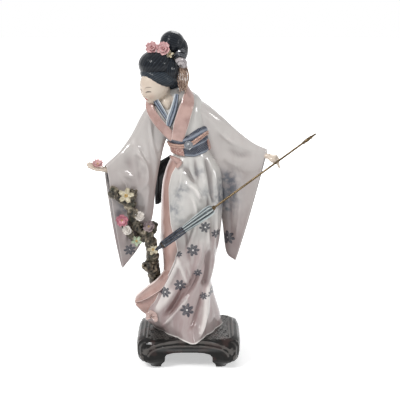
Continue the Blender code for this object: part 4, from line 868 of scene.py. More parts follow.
@dataclass(frozen=True)
class StripedGlaze:
    """Stripes across a band, by the attribute "across" from 0 to 1, below a woven lattice. On the parasol,
    "across" runs from each pleat's valley to its crest, so there the stops paint shade in the valleys and a
    highlight on the crests.
    """

    name: str
    stops: tuple[tuple[float, Colour], ...]
    weave: float = 0.0
    thread: Colour = (0.3, 0.33, 0.4)
    threads: float = 2600.0

    def build(self) -> bpy.types.Material:
        """Makes the material.

        Returns:
            The material.
        """
        paint = Paint(self.name, 0.3, 0.7, coat_ior=1.3, gloss=0.1)
        wobble = paint.noise(260.0, 2.0) * 0.05 - 0.025
        ramp = paint.add("ShaderNodeValToRGB", {0: paint.value_of("across") + wobble})
        elements = ramp.color_ramp.elements
        ramp.color_ramp.interpolation = "EASE"
        elements.remove(elements[0])
        elements[0].position, elements[0].color = self.stops[0][0], (*self.stops[0][1], 1.0)
        for place, colour in self.stops[1:]:
            elements.new(place).color = (*colour, 1.0)
        patches = paint.noise(300.0).between(0.25, 0.75)
        shade = paint.mix(patches * 0.07, ramp.outputs[0], (0.8, 0.8, 0.8))
        if self.weave > 0.0:
            x, _, z = paint.parts_of()
            slanted, other = ((way * self.threads).math("SINE") for way in (x + z, x - z))
            lattice = slanted.math("MAXIMUM", other).between(0.55, 0.95)
            shade = paint.mix(lattice * self.weave, shade, self.thread)
        return paint.done(shade)


@dataclass(frozen=True)
class HairGlaze:
    """Blue-black glaze with combed strands, by the attribute "comb"."""

    name: str
    body: Colour = (0.006, 0.008, 0.012)
    # sheen: the lighter colour painted on the strands' crests, a painted highlight
    sheen: Colour = (0.022, 0.03, 0.04)
    roughness: float = 0.2
    strands: float = 34.0
    groove: float = 0.00007

    def build(self) -> bpy.types.Material:
        """Makes the material.

        Returns:
            The material.
        """
        paint = Paint(self.name, self.roughness, 0.55, coat_ior=1.3, gloss=0.08)
        x, y, _ = paint.parts_of("comb")
        drift = paint.noise(60.0, 1.0) * 0.05 - 0.025
        comb = (y.math("ARCTAN2", x) + drift) * self.strands
        height = comb.math("SINE") + (comb * 2.7).math("SINE") * 0.4
        paint.bump(height, self.groove, 0.8)
        # The comb's crests are mixed towards the sheen colour: a painted highlight along the strands
        return paint.done(paint.mix(height.between(0.2, 1.3) * 0.8, self.body, self.sheen))


@dataclass(frozen=True)
class SkinGlaze:
    """Pale skin with a warm blush, and a painted face by attributes."""

    name: str = "skin_glaze"
    skin: Colour = (0.63, 0.545, 0.455)
    warm: Colour = (0.56, 0.39, 0.31)
    line: Colour = (0.05, 0.035, 0.03)
    lip: Colour = (0.45, 0.1, 0.09)

    def build(self) -> bpy.types.Material:
        """Makes the material. Attributes: "lash", "brow", "lip", each above zero inside, and "blush".

        Returns:
            The material.
        """
        paint = Paint(self.name, 0.38, 0.55)
        tone = paint.noise(55.0).between(0.25, 0.75)
        colour = paint.mix(paint.value_of("blush") + tone * 0.25, self.skin, self.warm)
        colour = paint.mix(paint.value_of("brow").between(0.0, 0.012) * 0.6, colour, self.line)
        colour = paint.mix(paint.value_of("lash").between(0.0, 0.012), colour, self.line)
        return paint.done(paint.mix(paint.value_of("lip").between(0.0, 0.03), colour, self.lip))


@dataclass(frozen=True)
class BarkGlaze:
    """Olive-brown bark, near black in its hollows as painted shade and pale on its raised knots, by the
    attribute "knot".
    """

    name: str = "bark_glaze"
    # hollow: near-black painted shade for the bark's hollows
    hollow: Colour = (0.01, 0.009, 0.006)
    bark: Colour = (0.1, 0.083, 0.06)
    knot: Colour = (0.42, 0.36, 0.27)
    moss: Colour = (0.1, 0.13, 0.055)

    def build(self) -> bpy.types.Material:
        """Makes the material.

        Returns:
            The material.
        """
        paint = Paint(self.name, 0.5, 0.25)
        knot = paint.value_of("knot") + (paint.noise(520.0, 4.0) * 0.9 - 0.45)
        # Painted shade: the bark darkens to near black where its surface is pushed in, and pales to the knot
        # colour where it is pushed out
        colour = paint.mix(knot.between(-0.35, 0.1), self.hollow, self.bark)
        colour = paint.mix(knot.between(0.15, 0.75), colour, self.knot)
        colour = paint.mix(paint.noise(70.0, 2.0).between(0.5, 0.7) * 0.16, colour, self.moss)
        paint.bump(paint.noise(800.0, 4.0), 0.0004, 0.9)
        return paint.done(colour)


@dataclass(frozen=True)
class StandGlaze:
    """Near-black glaze, lighter grey-brown on its raised carving by the attribute "proud": a painted
    highlight there, mixed with mottled wear.
    """

    name: str = "stand_glaze"
    body: Colour = (0.009, 0.0085, 0.008)
    # The lighter grey-brown: painted highlight on the raised carving, mixed with mottled wear
    wear_and_highlight: Colour = (0.1, 0.092, 0.086)
    rust: Colour = (0.075, 0.04, 0.036)

    def build(self) -> bpy.types.Material:
        """Makes the material.

        Returns:
            The material.
        """
        paint = Paint(self.name, 0.3, 0.6, coat_ior=1.26, gloss=0.08)
        patches = paint.noise(130.0, 5.0)
        # Painted highlight on the raised carving, by "proud", mixed with random patches of wear
        wear_and_highlight = paint.value_of("proud").between(0.15, 1.0) * 0.8 + (patches * 0.6 - 0.27)
        colour = paint.mix(wear_and_highlight.between(0.08, 0.9), self.body, self.wear_and_highlight)
        colour = paint.mix(paint.noise(60.0, 2.0).between(0.52, 0.66) * 0.35, colour, self.rust)
        paint.bump(paint.noise(330.0, 4.0), 0.00016, 0.8)
        return paint.done(colour, patches * 0.22 + 0.2)


@dataclass(frozen=True)
class BrassFinish:
    """Turned brass, browned in patches."""

    name: str = "brass"
    bright: Colour = (0.095, 0.068, 0.038)
    brown: Colour = (0.022, 0.016, 0.011)

    def build(self) -> bpy.types.Material:
        """Makes the material.

        Returns:
            The material.
        """
        paint = Paint(self.name, 0.28, metallic=1.0)
        age = paint.noise(22.0, 1.0)
        return paint.done(paint.mix(age.between(0.38, 0.66), self.bright, self.brown), age * 0.15 + 0.2)


NAVY_TONE, SLATE_TONE = (0.012, 0.017, 0.034), (0.045, 0.058, 0.088)


class Finish(Enum):
    """Every finish on the figurine."""

    ROBE = RobeGlaze()
    LINING = LiningGlaze()
    STAND = StandGlaze()
    SKIN = SkinGlaze()
    HAIR = HairGlaze("hair_glaze")
    HAIR_SIDES = HairGlaze("hair_sides_glaze", (0.018, 0.024, 0.032), (0.055, 0.07, 0.085), 0.32, 44.0)
    BARK = BarkGlaze()
    BRASS = BrassFinish()
    BOW = PlainGlaze("bow_glaze", (0.005, 0.005, 0.007), (0.003, 0.003, 0.004), 120.0, 0.24, 0.12)
    CREAM = PlainGlaze("cream_petals", (0.62, 0.57, 0.44), (0.38, 0.33, 0.22), 420.0, 0.4, 0.4)
    WHITE = PlainGlaze("white_petals", (0.8, 0.77, 0.73), (0.6, 0.55, 0.5), 420.0, 0.4, 0.4)
    PINK = PlainGlaze("pink_petals", (0.62, 0.3, 0.34), (0.4, 0.12, 0.17), 380.0, 0.4, 0.4)
    ROSE = PlainGlaze("rose_petals", (0.72, 0.51, 0.5), (0.52, 0.27, 0.28), 420.0, 0.4, 0.5)
    SAGE = PlainGlaze("sage_petals", (0.44, 0.5, 0.38), (0.24, 0.3, 0.18), 420.0, 0.4, 0.4)
    MAUVE = PlainGlaze("mauve_petals", (0.42, 0.34, 0.34), (0.2, 0.15, 0.16), 420.0, 0.4, 0.4)
    STAMEN = PlainGlaze("stamen_glaze", (0.6, 0.42, 0.14), (0.36, 0.2, 0.06), 900.0, 0.4, 0.3)
    TASSEL = PlainGlaze("tassel_glaze", (0.44, 0.32, 0.245), (0.13, 0.075, 0.055), 520.0, 0.4, 0.4)
    RIBBON = PlainGlaze("ribbon_glaze", (0.46, 0.42, 0.42), (0.28, 0.25, 0.26), 300.0, 0.35, 0.6)
    SLATE = PlainGlaze("slate_ribbon_glaze", (0.05, 0.055, 0.065), (0.02, 0.022, 0.03), 300.0, 0.3, 0.8)
    SILVER = PlainGlaze("brooch_glaze", (0.3, 0.31, 0.33), (0.14, 0.15, 0.17), 700.0, 0.22, 0.9)
    CORD = PlainGlaze("cord_glaze", (0.56, 0.37, 0.3), (0.34, 0.2, 0.16), 500.0, 0.35, 0.6)
    # The parasol's silks go near black in each pleat's valley, painted shade, and lighter on its crest,
    # painted highlight, over the navy of the lower half and the pale blue-grey of the upper half
    NAVY_SILK = StripedGlaze("parasol_navy_glaze", (
        (0.05, (0.004, 0.005, 0.01)), (0.74, (0.014, 0.019, 0.036)), (0.98, (0.085, 0.108, 0.155))))
    PALE_SILK = StripedGlaze("parasol_pale_glaze", (
        (0.05, (0.025, 0.033, 0.04)), (0.46, (0.225, 0.27, 0.278)), (0.92, (0.54, 0.59, 0.59))))
    INNER_COLLAR = StripedGlaze("inner_collar_glaze", (
        (0.02, NAVY_TONE), (0.2, SLATE_TONE), (0.3, (0.32, 0.37, 0.43)), (0.4, (0.09, 0.11, 0.16)),
        (0.58, NAVY_TONE), (0.66, (0.27, 0.32, 0.38)), (0.76, (0.1, 0.13, 0.18)),
        (0.94, (0.6, 0.63, 0.65))))
    OBI = StripedGlaze("obi_glaze", (
        (0.0, SLATE_TONE), (0.08, (0.22, 0.25, 0.3)), (0.14, NAVY_TONE), (0.4, NAVY_TONE),
        (0.46, (0.2, 0.23, 0.29)), (0.52, NAVY_TONE), (0.8, SLATE_TONE), (0.88, (0.24, 0.27, 0.33)),
        (0.96, NAVY_TONE)), 0.3)
    OBI_END = PlainGlaze("obi_end_glaze", (0.52, 0.36, 0.3), (0.24, 0.09, 0.08), 620.0, 0.35, 0.7)


class Workshop:
    """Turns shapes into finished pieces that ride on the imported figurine."""

    def __init__(self, frame: dict) -> None:
        """Finds the figure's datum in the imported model.
        """
        self.frame = frame
        low, high = (np.array(corner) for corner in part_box("stand"))
        self.stand_datum = np.array(((low[0] + high[0]) / 2, (low[1] + high[1]) / 2, 0.0))
        self.datum = self.stand_datum + (0.0, 0.0, STAND_HEIGHT + SEAT_GAP - HEM_LEVEL)
        self.materials: dict[Finish, bpy.types.Material] = {}
        self.count = 0

    def material(self, finish: Finish) -> bpy.types.Material:
        """The finish's material, made once.

        Args:
            finish: The finish.

        Returns:
            Its material.
        """
        if finish not in self.materials:
            self.materials[finish] = finish.value.build()
        return self.materials[finish]

    def solid(self, node: str) -> tuple[np.ndarray, BVHTree]:
        """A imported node's vertices and search tree, in the figure's datum.

        Args:
            node: The node's name.

        Returns:
            The vertices and the tree.
        """
        bm = bmesh.new()
        bm.from_mesh(self.frame["nodes"][node].data)
        bmesh.ops.translate(bm, vec=Vector(-self.datum), verts=bm.verts)
        verts = np.array([tuple(v.co) for v in bm.verts])
        tree = BVHTree.FromBMesh(bm)
        bm.free()
        return verts, tree

    @staticmethod
    def mesh_of(name: str, shape: Shape) -> bpy.types.Mesh:
        """A mesh with the shape's faces and attributes.

        Args:
            name: The mesh's name.
            shape: The shape.

        Returns:
            The mesh.
        """
        mesh = bpy.data.meshes.new(name)
        mesh.from_pydata(shape.verts.tolist(), [], shape.quads.tolist() + shape.tris.tolist())
        for label, value in shape.values.items():
            if value.ndim == 1:
                made = mesh.attributes.new(label, "FLOAT", "POINT")
                made.data.foreach_set("value", value.astype(np.float32))
            else:
                made = mesh.attributes.new(label, "FLOAT_VECTOR", "POINT")
                made.data.foreach_set("vector", value.astype(np.float32).ravel())
        return mesh

    def piece(self, name: str, shape: Shape | bpy.types.Mesh, finish: Finish, slot: str | None,
              nodes: Sequence[str] = (), datum: np.ndarray | None = None,
              crease: float = 50.0) -> bpy.types.Object:
        """Makes one finished piece.

        Args:
            name: The piece's name.
            shape: Its shape, or a mesh that is already in the figure's datum.
            finish: Its finish, unless the mesh brings its own materials.
            slot: The record's material slot that it belongs to, if it has one.
            nodes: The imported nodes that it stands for.
            datum: Where the shape's own origin lies in the row frame.
            crease: Edges sharper than this stay crisp, in degrees.

        Returns:
            The piece's object.
        """
        mesh = self.mesh_of(name, shape) if isinstance(shape, Shape) else shape
        mesh.transform(Matrix.Translation(Vector(self.datum if datum is None else datum)))
        if not mesh.materials:
            mesh.materials.append(self.material(finish))
        mesh.shade_smooth()
        mesh.set_sharp_from_angle(angle=math.radians(crease))
        obj = placed(name, mesh)
        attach(obj, "root")
        if nodes:
            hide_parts(*nodes)
        self.count += 1
        LOG.info("%s: %d vertices, %s", name, len(mesh.vertices), slot or "no slot")
        return obj

    def cloth(self, name: str, shape: Shape, finish: Finish, crease: float = 50.0) -> bpy.types.Object:
        """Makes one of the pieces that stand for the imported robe.

        Args:
            name: The piece's name.
            shape: Its shape.
            finish: Its finish.
            crease: Edges sharper than this stay crisp, in degrees.

        Returns:
            The piece's object.
        """
        return self.piece(name, shape, finish, "robe_glaze", ("robe",), crease=crease)

    def softened(self, node: str, voxel: float, rounds: int = 2) -> bpy.types.Mesh:
        """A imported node's copy, remeshed so that its joins flow into each other.

        Args:
            node: The node's name.
            voxel: Size of the remesh.
            rounds: How often it is smoothed.

        Returns:
            The mesh, in the figure's datum.
        """
        bm = bmesh.new()
        bm.from_mesh(self.frame["nodes"][node].data)
        bmesh.ops.remove_doubles(bm, verts=bm.verts, dist=0.00001)
        bmesh.ops.translate(bm, vec=Vector(-self.datum), verts=bm.verts)
        rough = bpy.data.meshes.new(node + " merged")
        bm.to_mesh(rough)
        bm.free()
        obj = placed(node + " merged", rough)
        remesh = obj.modifiers.new("Remesh", "REMESH")
        remesh.mode = "VOXEL"
        remesh.voxel_size = voxel
        soft = obj.modifiers.new("Smooth", "SMOOTH")
        soft.factor, soft.iterations = 0.5, rounds
        return self.plain_mesh(obj)

    def laid_out(self, name: str, base: bpy.types.Mesh, tree: bpy.types.NodeTree,
                 wanted: dict[str, float]) -> bpy.types.Mesh:
        """What a Geometry Nodes tree makes of a mesh.

        Args:
            name: The mesh's name.
            base: The mesh that goes in.
            tree: The node tree.
            wanted: The tree's inputs by name.

        Returns:
            The plain mesh.
        """
        holder = placed(name, base)
        modifier = holder.modifiers.new("Layout", "NODES")
        modifier.node_group = tree
        for item in tree.interface.items_tree:
            if item.in_out == "INPUT" and item.name in wanted:
                modifier[item.identifier] = wanted[item.name]
        return self.plain_mesh(holder)

    @staticmethod
    def plain_mesh(obj: bpy.types.Object) -> bpy.types.Mesh:
        """The object's mesh with its modifiers applied; the object itself goes.

        Args:
            obj: The object.

        Returns:
            The mesh.
        """
        graph = bpy.context.evaluated_depsgraph_get()
        graph.update()
        mesh = bpy.data.meshes.new_from_object(obj.evaluated_get(graph))
        bpy.data.objects.remove(obj)
        return mesh


@dataclass
class RobeBody:
    """Skirt and bodice: folded cloth whose white front panel lies over a pink lining."""

    shop: Workshop
    rounds: int = 300
    rows: int = 250
    turn_share: float = 0.72
    panel_step: float = 0.0017
    fold_gain: float = 1.4
    hem_lip: float = 0.0006

    @staticmethod
    def section(height: float) -> np.ndarray:
        """The robe's section values at a height, read smoothly between the named sections.

        Args:
            height: The height.

        Returns:
            Height, middle x and y, half width, depths to the front and back, and lean.
        """
        rows = ROBE_SECTIONS
        k = int(np.clip(np.searchsorted(rows[:, 0], height) - 1, 0, len(rows) - 2))
        t = np.clip((height - rows[k, 0]) / (rows[k + 1, 0] - rows[k, 0]), 0.0, 1.0)
        a, b, c, d = rows[max(k - 1, 0)], rows[k], rows[k + 1], rows[min(k + 2, len(rows) - 1)]
        return 0.5 * (2 * b + (c - a) * t + (2 * a - 5 * b + 4 * c - d) * t * t
                      + (3 * b - a - 3 * c + d) * t ** 3)

    @staticmethod
    def hem_reach(degrees: np.ndarray, height: float, plain: np.ndarray) -> np.ndarray:
        """Reach of the skirt where its hem spreads.

        Args:
            degrees: Angles from the front.
            height: The ring's height.
            plain: The plain section's reach at each angle.

        Returns:
            The reach at each angle.
        """
        if height >= HEM_FREE_HEIGHT:
            return plain
        around = np.arange(-180.0, 180.0, 1.0)
        kernel = np.array((1, 3, 6, 8, 9, 8, 6, 3, 1)) / 45.0
        levels, reaches = [], []
        for level, outline in HEM_OUTLINES:
            table = MM * np.interp(around, *zip(*outline), period=360.0)
            wide = np.concatenate([table[-4:], table, table[:4]])
            soft = np.convolve(wide, kernel, "valid")
            levels.append(MM * level)
            reaches.append(np.interp(degrees, around, soft, period=360.0))
        levels.append(HEM_FREE_HEIGHT)
        reaches.append(plain)
        spread = np.zeros_like(plain)
        for offset, share in ((-0.003, 0.25), (0.0, 0.5), (0.003, 0.25)):
            spot = np.clip(height + offset, levels[0], levels[-1])
            k = int(np.clip(np.searchsorted(levels, spot) - 1, 0, len(levels) - 2))
            t = (spot - levels[k]) / (levels[k + 1] - levels[k])
            spread += share * (reaches[k] + (reaches[k + 1] - reaches[k]) * t)
        return spread

    def ring(self, height: float, angles: np.ndarray, spread: bool = True) -> tuple[np.ndarray, np.ndarray]:
        """The plain cloth's points at a height, and the way out at each.

        Args:
            height: The ring's height.
            angles: Angles from the front towards the viewer's right.
            spread: Whether the hem spreads.

        Returns:
            The points before folding, and unit vectors outwards.
        """
        _, mid_x, mid_y, half, front, back, _ = self.section(height)
        out = np.stack([np.sin(angles), -np.cos(angles), np.zeros_like(angles)], -1)
        depth = np.where(out[:, 1] < 0, front, back)
        reach = ((np.abs(out[:, 0]) / half) ** 2.2 + (np.abs(out[:, 1]) / depth) ** 2.2) ** (-1 / 2.2)
        if spread:
            reach = self.hem_reach(np.degrees(angles), height, reach)
        return np.array((mid_x, mid_y, height)) + out * reach[:, None], out

    def edge_angle(self, height: float) -> float:
        """The angle at which the panel's left edge crosses a height.

        Args:
            height: The height.

        Returns:
            The angle from the front.
        """
        heights, places = zip(*sorted((z, x) for x, z in PANEL_EDGE))
        wanted = float(np.interp(height, heights, places))
        scan = np.radians(np.linspace(-96.0, 40.0, 137))
        points, _ = self.ring(height, scan)
        start = int(np.argmin(points[:, 0]))
        return float(np.interp(wanted, points[start:, 0], scan[start:]))

    def shape(self) -> Shape:
        """The robe's body with its attributes.

        Returns:
            The closed shape.
        """
        share = np.arange(self.rounds) / self.rounds
        spacing = 2 * np.pi * (share - self.turn_share * np.sin(2 * np.pi * share) / (2 * np.pi))
        heights = np.linspace(ROBE_SECTIONS[0][0], ROBE_SECTIONS[-1][0], self.rows)
        starts = np.array([self.edge_angle(h) for h in heights])
        starts = np.convolve(np.pad(starts, 3, "edge"), np.ones(7) / 7, "valid")
        rings, outs = [], []
        for height, start in zip(heights, starts):
            angles = (start + spacing + np.pi) % (2 * np.pi) - np.pi
            points, out = self.ring(height, angles)
            rings.append(points)
            outs.append(out)
        rings, outs = np.array(rings), np.array(outs)
        steps = np.linalg.norm(np.roll(rings, -1, 1) - rings, axis=2)
        run = np.concatenate([np.zeros((self.rows, 1)), np.cumsum(steps, 1)[:, :-1]], 1)
        around = steps.sum(1, keepdims=True)
        edge = np.where(run > around / 2, run - around, run)
        slope = np.gradient(rings[:, 0, 0], heights)
        edge *= (1.0 / np.sqrt(1.0 + slope ** 2))[:, None]
        shown = smooth((0.243 - heights) / 0.01)[:, None]
        step = smooth((edge + 0.0004) / 0.0008) * np.exp(-(np.maximum(edge, 0.0) / 0.015) ** 2)
        back_edge = np.exp(-((edge + RobeGlaze().lining_width) / 0.0011) ** 2)
        flat = relief(SKIRT_FOLDS, rings.reshape(-1, 3), outs[..., 1].ravel()).reshape(edge.shape)
        flat *= self.fold_gain
        rng = np.random.default_rng(7)
        weave = np.zeros_like(edge)
        for _ in range(9):
            along, tilt, phase = rng.uniform(0.6, 1.8), rng.uniform(-60, 60), rng.uniform(0, 6.3)
            weave += np.sin(along * 420.0 * rings[..., 0] + tilt * rings[..., 2] * 1.4 + phase) / 9.0
        calm = smooth((0.25 - heights) / 0.03)[:, None]
        lift = flat + shown * (self.panel_step * step + 0.001 * back_edge) + weave * 0.0007 * calm
        lip = self.hem_lip * np.exp(-((heights - HEM_LEVEL) / 0.0012) ** 2)[:, None]
        rings = rings + outs * (lift + lip)[..., None]
        lean = np.array([self.section(h)[6] for h in heights])
        middles = np.array([self.section(h)[1] for h in heights])
        rings[..., 2] += (rings[..., 0] - middles[:, None]) * np.tan(np.radians(lean))[:, None]
        rings[..., 1] = np.maximum(rings[..., 1], self.shop.solid("robe")[0][:, 1].min() + 0.0002)
        flat_points, facing = rings.reshape(-1, 3), outs[..., 1].ravel()
        paint = painted(flat_points, facing)
        grid = edge.shape
        values = {name: value.reshape(*grid, *value.shape[1:]) for name, value in paint.items()}
        panel = np.where(shown > 0.3, edge, 0.05)
        return Shape.loft(rings, relief=flat + weave * 0.0009, panel=panel,
                          hem=np.broadcast_to(heights[:, None] - HEM_LEVEL, grid),
                          sleeve_tone=np.zeros(grid), **values).outward()

    def make(self) -> bpy.types.Object:
        """The robe's body as a piece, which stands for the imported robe."""
        return self.shop.cloth("robe_body", self.shape(), Finish.ROBE, 70.0)


@dataclass
class Sleeve:
    """A long hanging sleeve with a rounded lip and a shallow lined cuff, whose inside is washed dark: the
    lining's colour, with painted shade.
    """

    shop: Workshop
    name: str
    stations: tuple
    # lining: how strongly the inside of the cuff is washed dark blue-grey, the lining's colour with painted
    # shade of the opening
    lining: float
    rounds: int = 96
    rows: int = 110
    wall: float = 0.0018
    pocket: float = 0.011
    fold_gain: float = 1.6
    curves: list[np.ndarray] = field(init=False)

    def __post_init__(self) -> None:
        """Draws the curves of the top edge, the bottom edge and the thicknesses."""
        self.curves = [curve_through(MM * np.array(rows), 24) for rows in zip(*self.stations)]

    def section(self, share: float) -> tuple[np.ndarray, ...]:
        """Top edge, bottom edge and thicknesses at a share of the arm's length.

        Args:
            share: The share, from the shoulder to the cuff.

        Returns:
            The two edges' points, and the thicknesses and the bow.
        """
        spot = np.clip(share, 0.0, 1.0) * (len(self.curves[0]) - 1)
        low = min(int(spot), len(self.curves[0]) - 2)
        return tuple(c[low] + (c[low + 1] - c[low]) * (spot - low) for c in self.curves)

    def ring(self, share: float, shrink: float, out: float = 0.0) -> tuple[np.ndarray, np.ndarray]:
        """One section of the sleeve.

        Args:
            share: Where along the arm it is.
            shrink: How far inside the outer cloth it lies.
            out: How far past the cuff it is moved.

        Returns:
            The points, and the y part of the way that the cloth faces at each.
        """
        top, low, (arm, bag, bow) = self.section(share)
        along = self.section(share + 0.02)[0] - self.section(share - 0.02)[0]
        drop = low - top
        normal = unit(np.cross(along, drop))
        normal = -normal if normal[1] > 0 else normal
        across = unit(along)
        turn = full_turn(self.rounds)
        length = np.linalg.norm(drop)
        down = 0.5 - 0.5 * np.cos(turn)
        down = shrink / length + down * (1 - 2 * shrink / length)
        thick = np.maximum(arm + (bag - arm) * smooth(down / 0.45) - shrink, 0.0008)
        swell = np.sign(np.sin(turn)) * np.abs(np.sin(turn)) ** 0.75
        points = (top + drop * down[:, None] - across * (bow * np.sin(np.pi * down))[:, None]
                  + normal * (thick * swell)[:, None] + across * out)
        facing = np.where(swell > 0, normal[1], -normal[1])
        if shrink <= 0.0:
            fold = relief(SLEEVE_FOLDS, points, facing) * np.abs(swell) * self.fold_gain
            points = points + normal * (fold * np.sign(swell))[:, None]
        return points, facing

    def shape(self) -> Shape:
        """The sleeve with its attributes.

        Returns:
            The closed shape.
        """
        rings, faces, cuffs, insides = [], [], [], []
        for share in np.linspace(0.0, 1.0, self.rows):
            points, facing = self.ring(share, 0.0)
            rings.append(points)
            faces.append(facing)
            # hem: falls to its smallest at the cuff, where the robe glaze paints a faint highlight line
            cuffs.append((1.0 - share) * 0.07 + 0.0015)
            insides.append(0.0)
        length = np.linalg.norm(self.section(1.0)[0] - self.section(0.8)[0]) / 0.2
        for shrink, out, back in ((0.0003, 0.0005, 0.0), (0.0009, 0.0007, 0.0), (0.0015, 0.0004, 0.0),
                                  (self.wall, 0.0, 0.002), (self.wall, 0.0, 0.005),
                                  (self.wall, 0.0, 0.008), (self.wall, 0.0, self.pocket)):
            points, facing = self.ring(1.0 - back / length, shrink, out)
            rings.append(points)
            faces.append(facing)
            cuffs.append(0.0015)
            insides.append(1.0 if shrink >= self.wall else 0.0)
        rings, faces = np.array(rings), np.array(faces)
        grid = rings.shape[:2]
        flat = relief(SLEEVE_FOLDS, rings.reshape(-1, 3), faces.ravel()).reshape(grid)
        paint = painted(rings.reshape(-1, 3), faces.ravel())
        values = {name: value.reshape(*grid, *value.shape[1:]) for name, value in paint.items()}
        inside = np.broadcast_to(np.array(insides)[:, None], grid)
        # The inside of the cuff takes the dark blue-grey wash: the lining's colour, with painted shade of the
        # opening
        values["wash"] = np.maximum(values["wash"], inside * self.lining)
        values["blossom_reach"] = np.where(inside > 0.5, 9.0, values["blossom_reach"])
        # Darker towards the bottom of the sleeve: the kimono's own gradient, with painted shade
        down = smooth((0.262 - rings[..., 2]) / 0.07)
        tone = 0.3 + 0.33 * down + 0.3 * smooth((0.185 - rings[..., 2]) / 0.06)
        hem = np.broadcast_to(np.array(cuffs)[:, None], grid) + np.where(inside > 0.5, 0.01, 0.0)
        return Shape.loft(rings, relief=flat, panel=np.full(grid, 0.05), hem=hem,
                          sleeve_tone=tone, **values).outward()

    def make(self) -> bpy.types.Object:
        """The sleeve as a piece."""
        return self.shop.cloth(self.name, self.shape(), Finish.ROBE, 75.0)


@dataclass
class Ribbon:
    """A flat band of cloth with rounded edges along a line of stations."""

    line: np.ndarray
    facings: np.ndarray
    widths: np.ndarray
    thickness: float
    columns: int = 14

    def shape(self) -> Shape:
        """The closed band, with "across" from edge to edge and "rim" one on its edges, where the lining glaze
        paints a highlight.

        Returns:
            The closed shape.
        """
        along = np.gradient(self.line, axis=0)
        across = np.cross(along, self.facings)
        across /= np.linalg.norm(across, axis=1)[:, None]
        facing = np.cross(across, along)
        facing /= np.linalg.norm(facing, axis=1)[:, None]
        side = np.linspace(-1.0, 1.0, self.columns)
        rise = (1.0 - np.abs(side) ** 6) ** 0.5
        top = side, rise * 0.5
        low = side[::-1], -rise[::-1] * 0.5
        a = np.concatenate([top[0], low[0]])
        b = np.concatenate([top[1], low[1]])
        rings = (self.line[:, None] + across[:, None] * (a[None, :, None] * self.widths[:, None, None] / 2)
                 + facing[:, None] * (b[None, :, None] * self.thickness))
        grid = rings.shape[:2]
        rim = np.broadcast_to(smooth((np.abs(a) - 0.86) / 0.1)[None], grid)
        share = np.broadcast_to(((a + 1) / 2)[None], grid)
        return Shape.loft(rings, across=share, rim=rim).outward()


@dataclass
class Collars:
    """The pink collar round the neck and the striped collar of the robe underneath."""

    shop: Workshop
    thickness: float = 0.0026
    inner_thickness: float = 0.002
    stops: tuple = (
        (-11, -19.8, 258.5, 0.05, -1, 0.1, 12.5), (-7.2, -20.8, 274, 0.05, -1, 0.15, 15.2),
        (-3.4, -19.8, 287, 0.15, -1, 0.3, 15), (0.6, -15.2, 299, 0.4, -0.8, 0.5, 14.2),
        (1.8, -5, 308.5, 0.9, -0.2, 0.6, 13), (-3, 8, 312, 0.7, 0.7, 0.5, 12),
        (-17, 16.5, 311, 0, 1, 0.45, 11.5), (-34, 10, 306, -0.75, 0.7, 0.45, 10.5),
        (-40.8, -2, 300, -0.9, -0.2, 0.6, 9.8), (-39.6, -12, 291.5, -0.45, -0.8, 0.5, 9.6),
        (-31.8, -18.4, 279, -0.2, -1, 0.25, 10), (-22.2, -19, 268, -0.1, -1, 0.1, 10),
        (-15, -17.8, 261, -0.05, -1, 0.1, 10),
    )
    inner_right: tuple = (
        (-11.2, -17.2, 307.5, 0.3, -0.8, 0.45, 4.6), (-12.5, -18.8, 300, 0.25, -0.9, 0.35, 6.2),
        (-15, -19.3, 290, 0.15, -1, 0.25, 7.6), (-18.2, -19.3, 281, 0.05, -1, 0.15, 8),
        (-20, -18.8, 274, 0, -1, 0.1, 6),
    )
    inner_left: tuple = (
        (-34.5, -14, 302, -0.45, -0.8, 0.4, 6.2), (-30, -16.8, 295, -0.3, -0.9, 0.35, 6.2),
        (-25.5, -18, 288, -0.2, -1, 0.25, 5.6), (-20.5, -18.6, 280, -0.1, -1, 0.15, 4.4),
    )

    @staticmethod
    def band(stops: tuple, thickness: float) -> Shape:
        """A collar through its stops.

        Args:
            stops: Place, the way that the cloth faces, and width of each.
            thickness: The collar's thickness.

        Returns:
            The closed collar.
        """
        rows = curve_through(np.array(stops) * (MM, MM, MM, 1, 1, 1, MM), 10)
        return Ribbon(rows[:, :3], rows[:, 3:6], rows[:, 6], thickness).shape()

    def make(self) -> None:
        """Both collars as pieces."""
        self.shop.cloth("pink_collar", self.band(self.stops, self.thickness), Finish.LINING)
        right = self.band(self.inner_right, self.inner_thickness)
        left = self.band(self.inner_left, self.inner_thickness)
        left.values["across"] = 1.0 - left.values["across"]
        self.shop.cloth("inner_collar_right", right, Finish.INNER_COLLAR)
        self.shop.cloth("inner_collar_left", left, Finish.INNER_COLLAR)


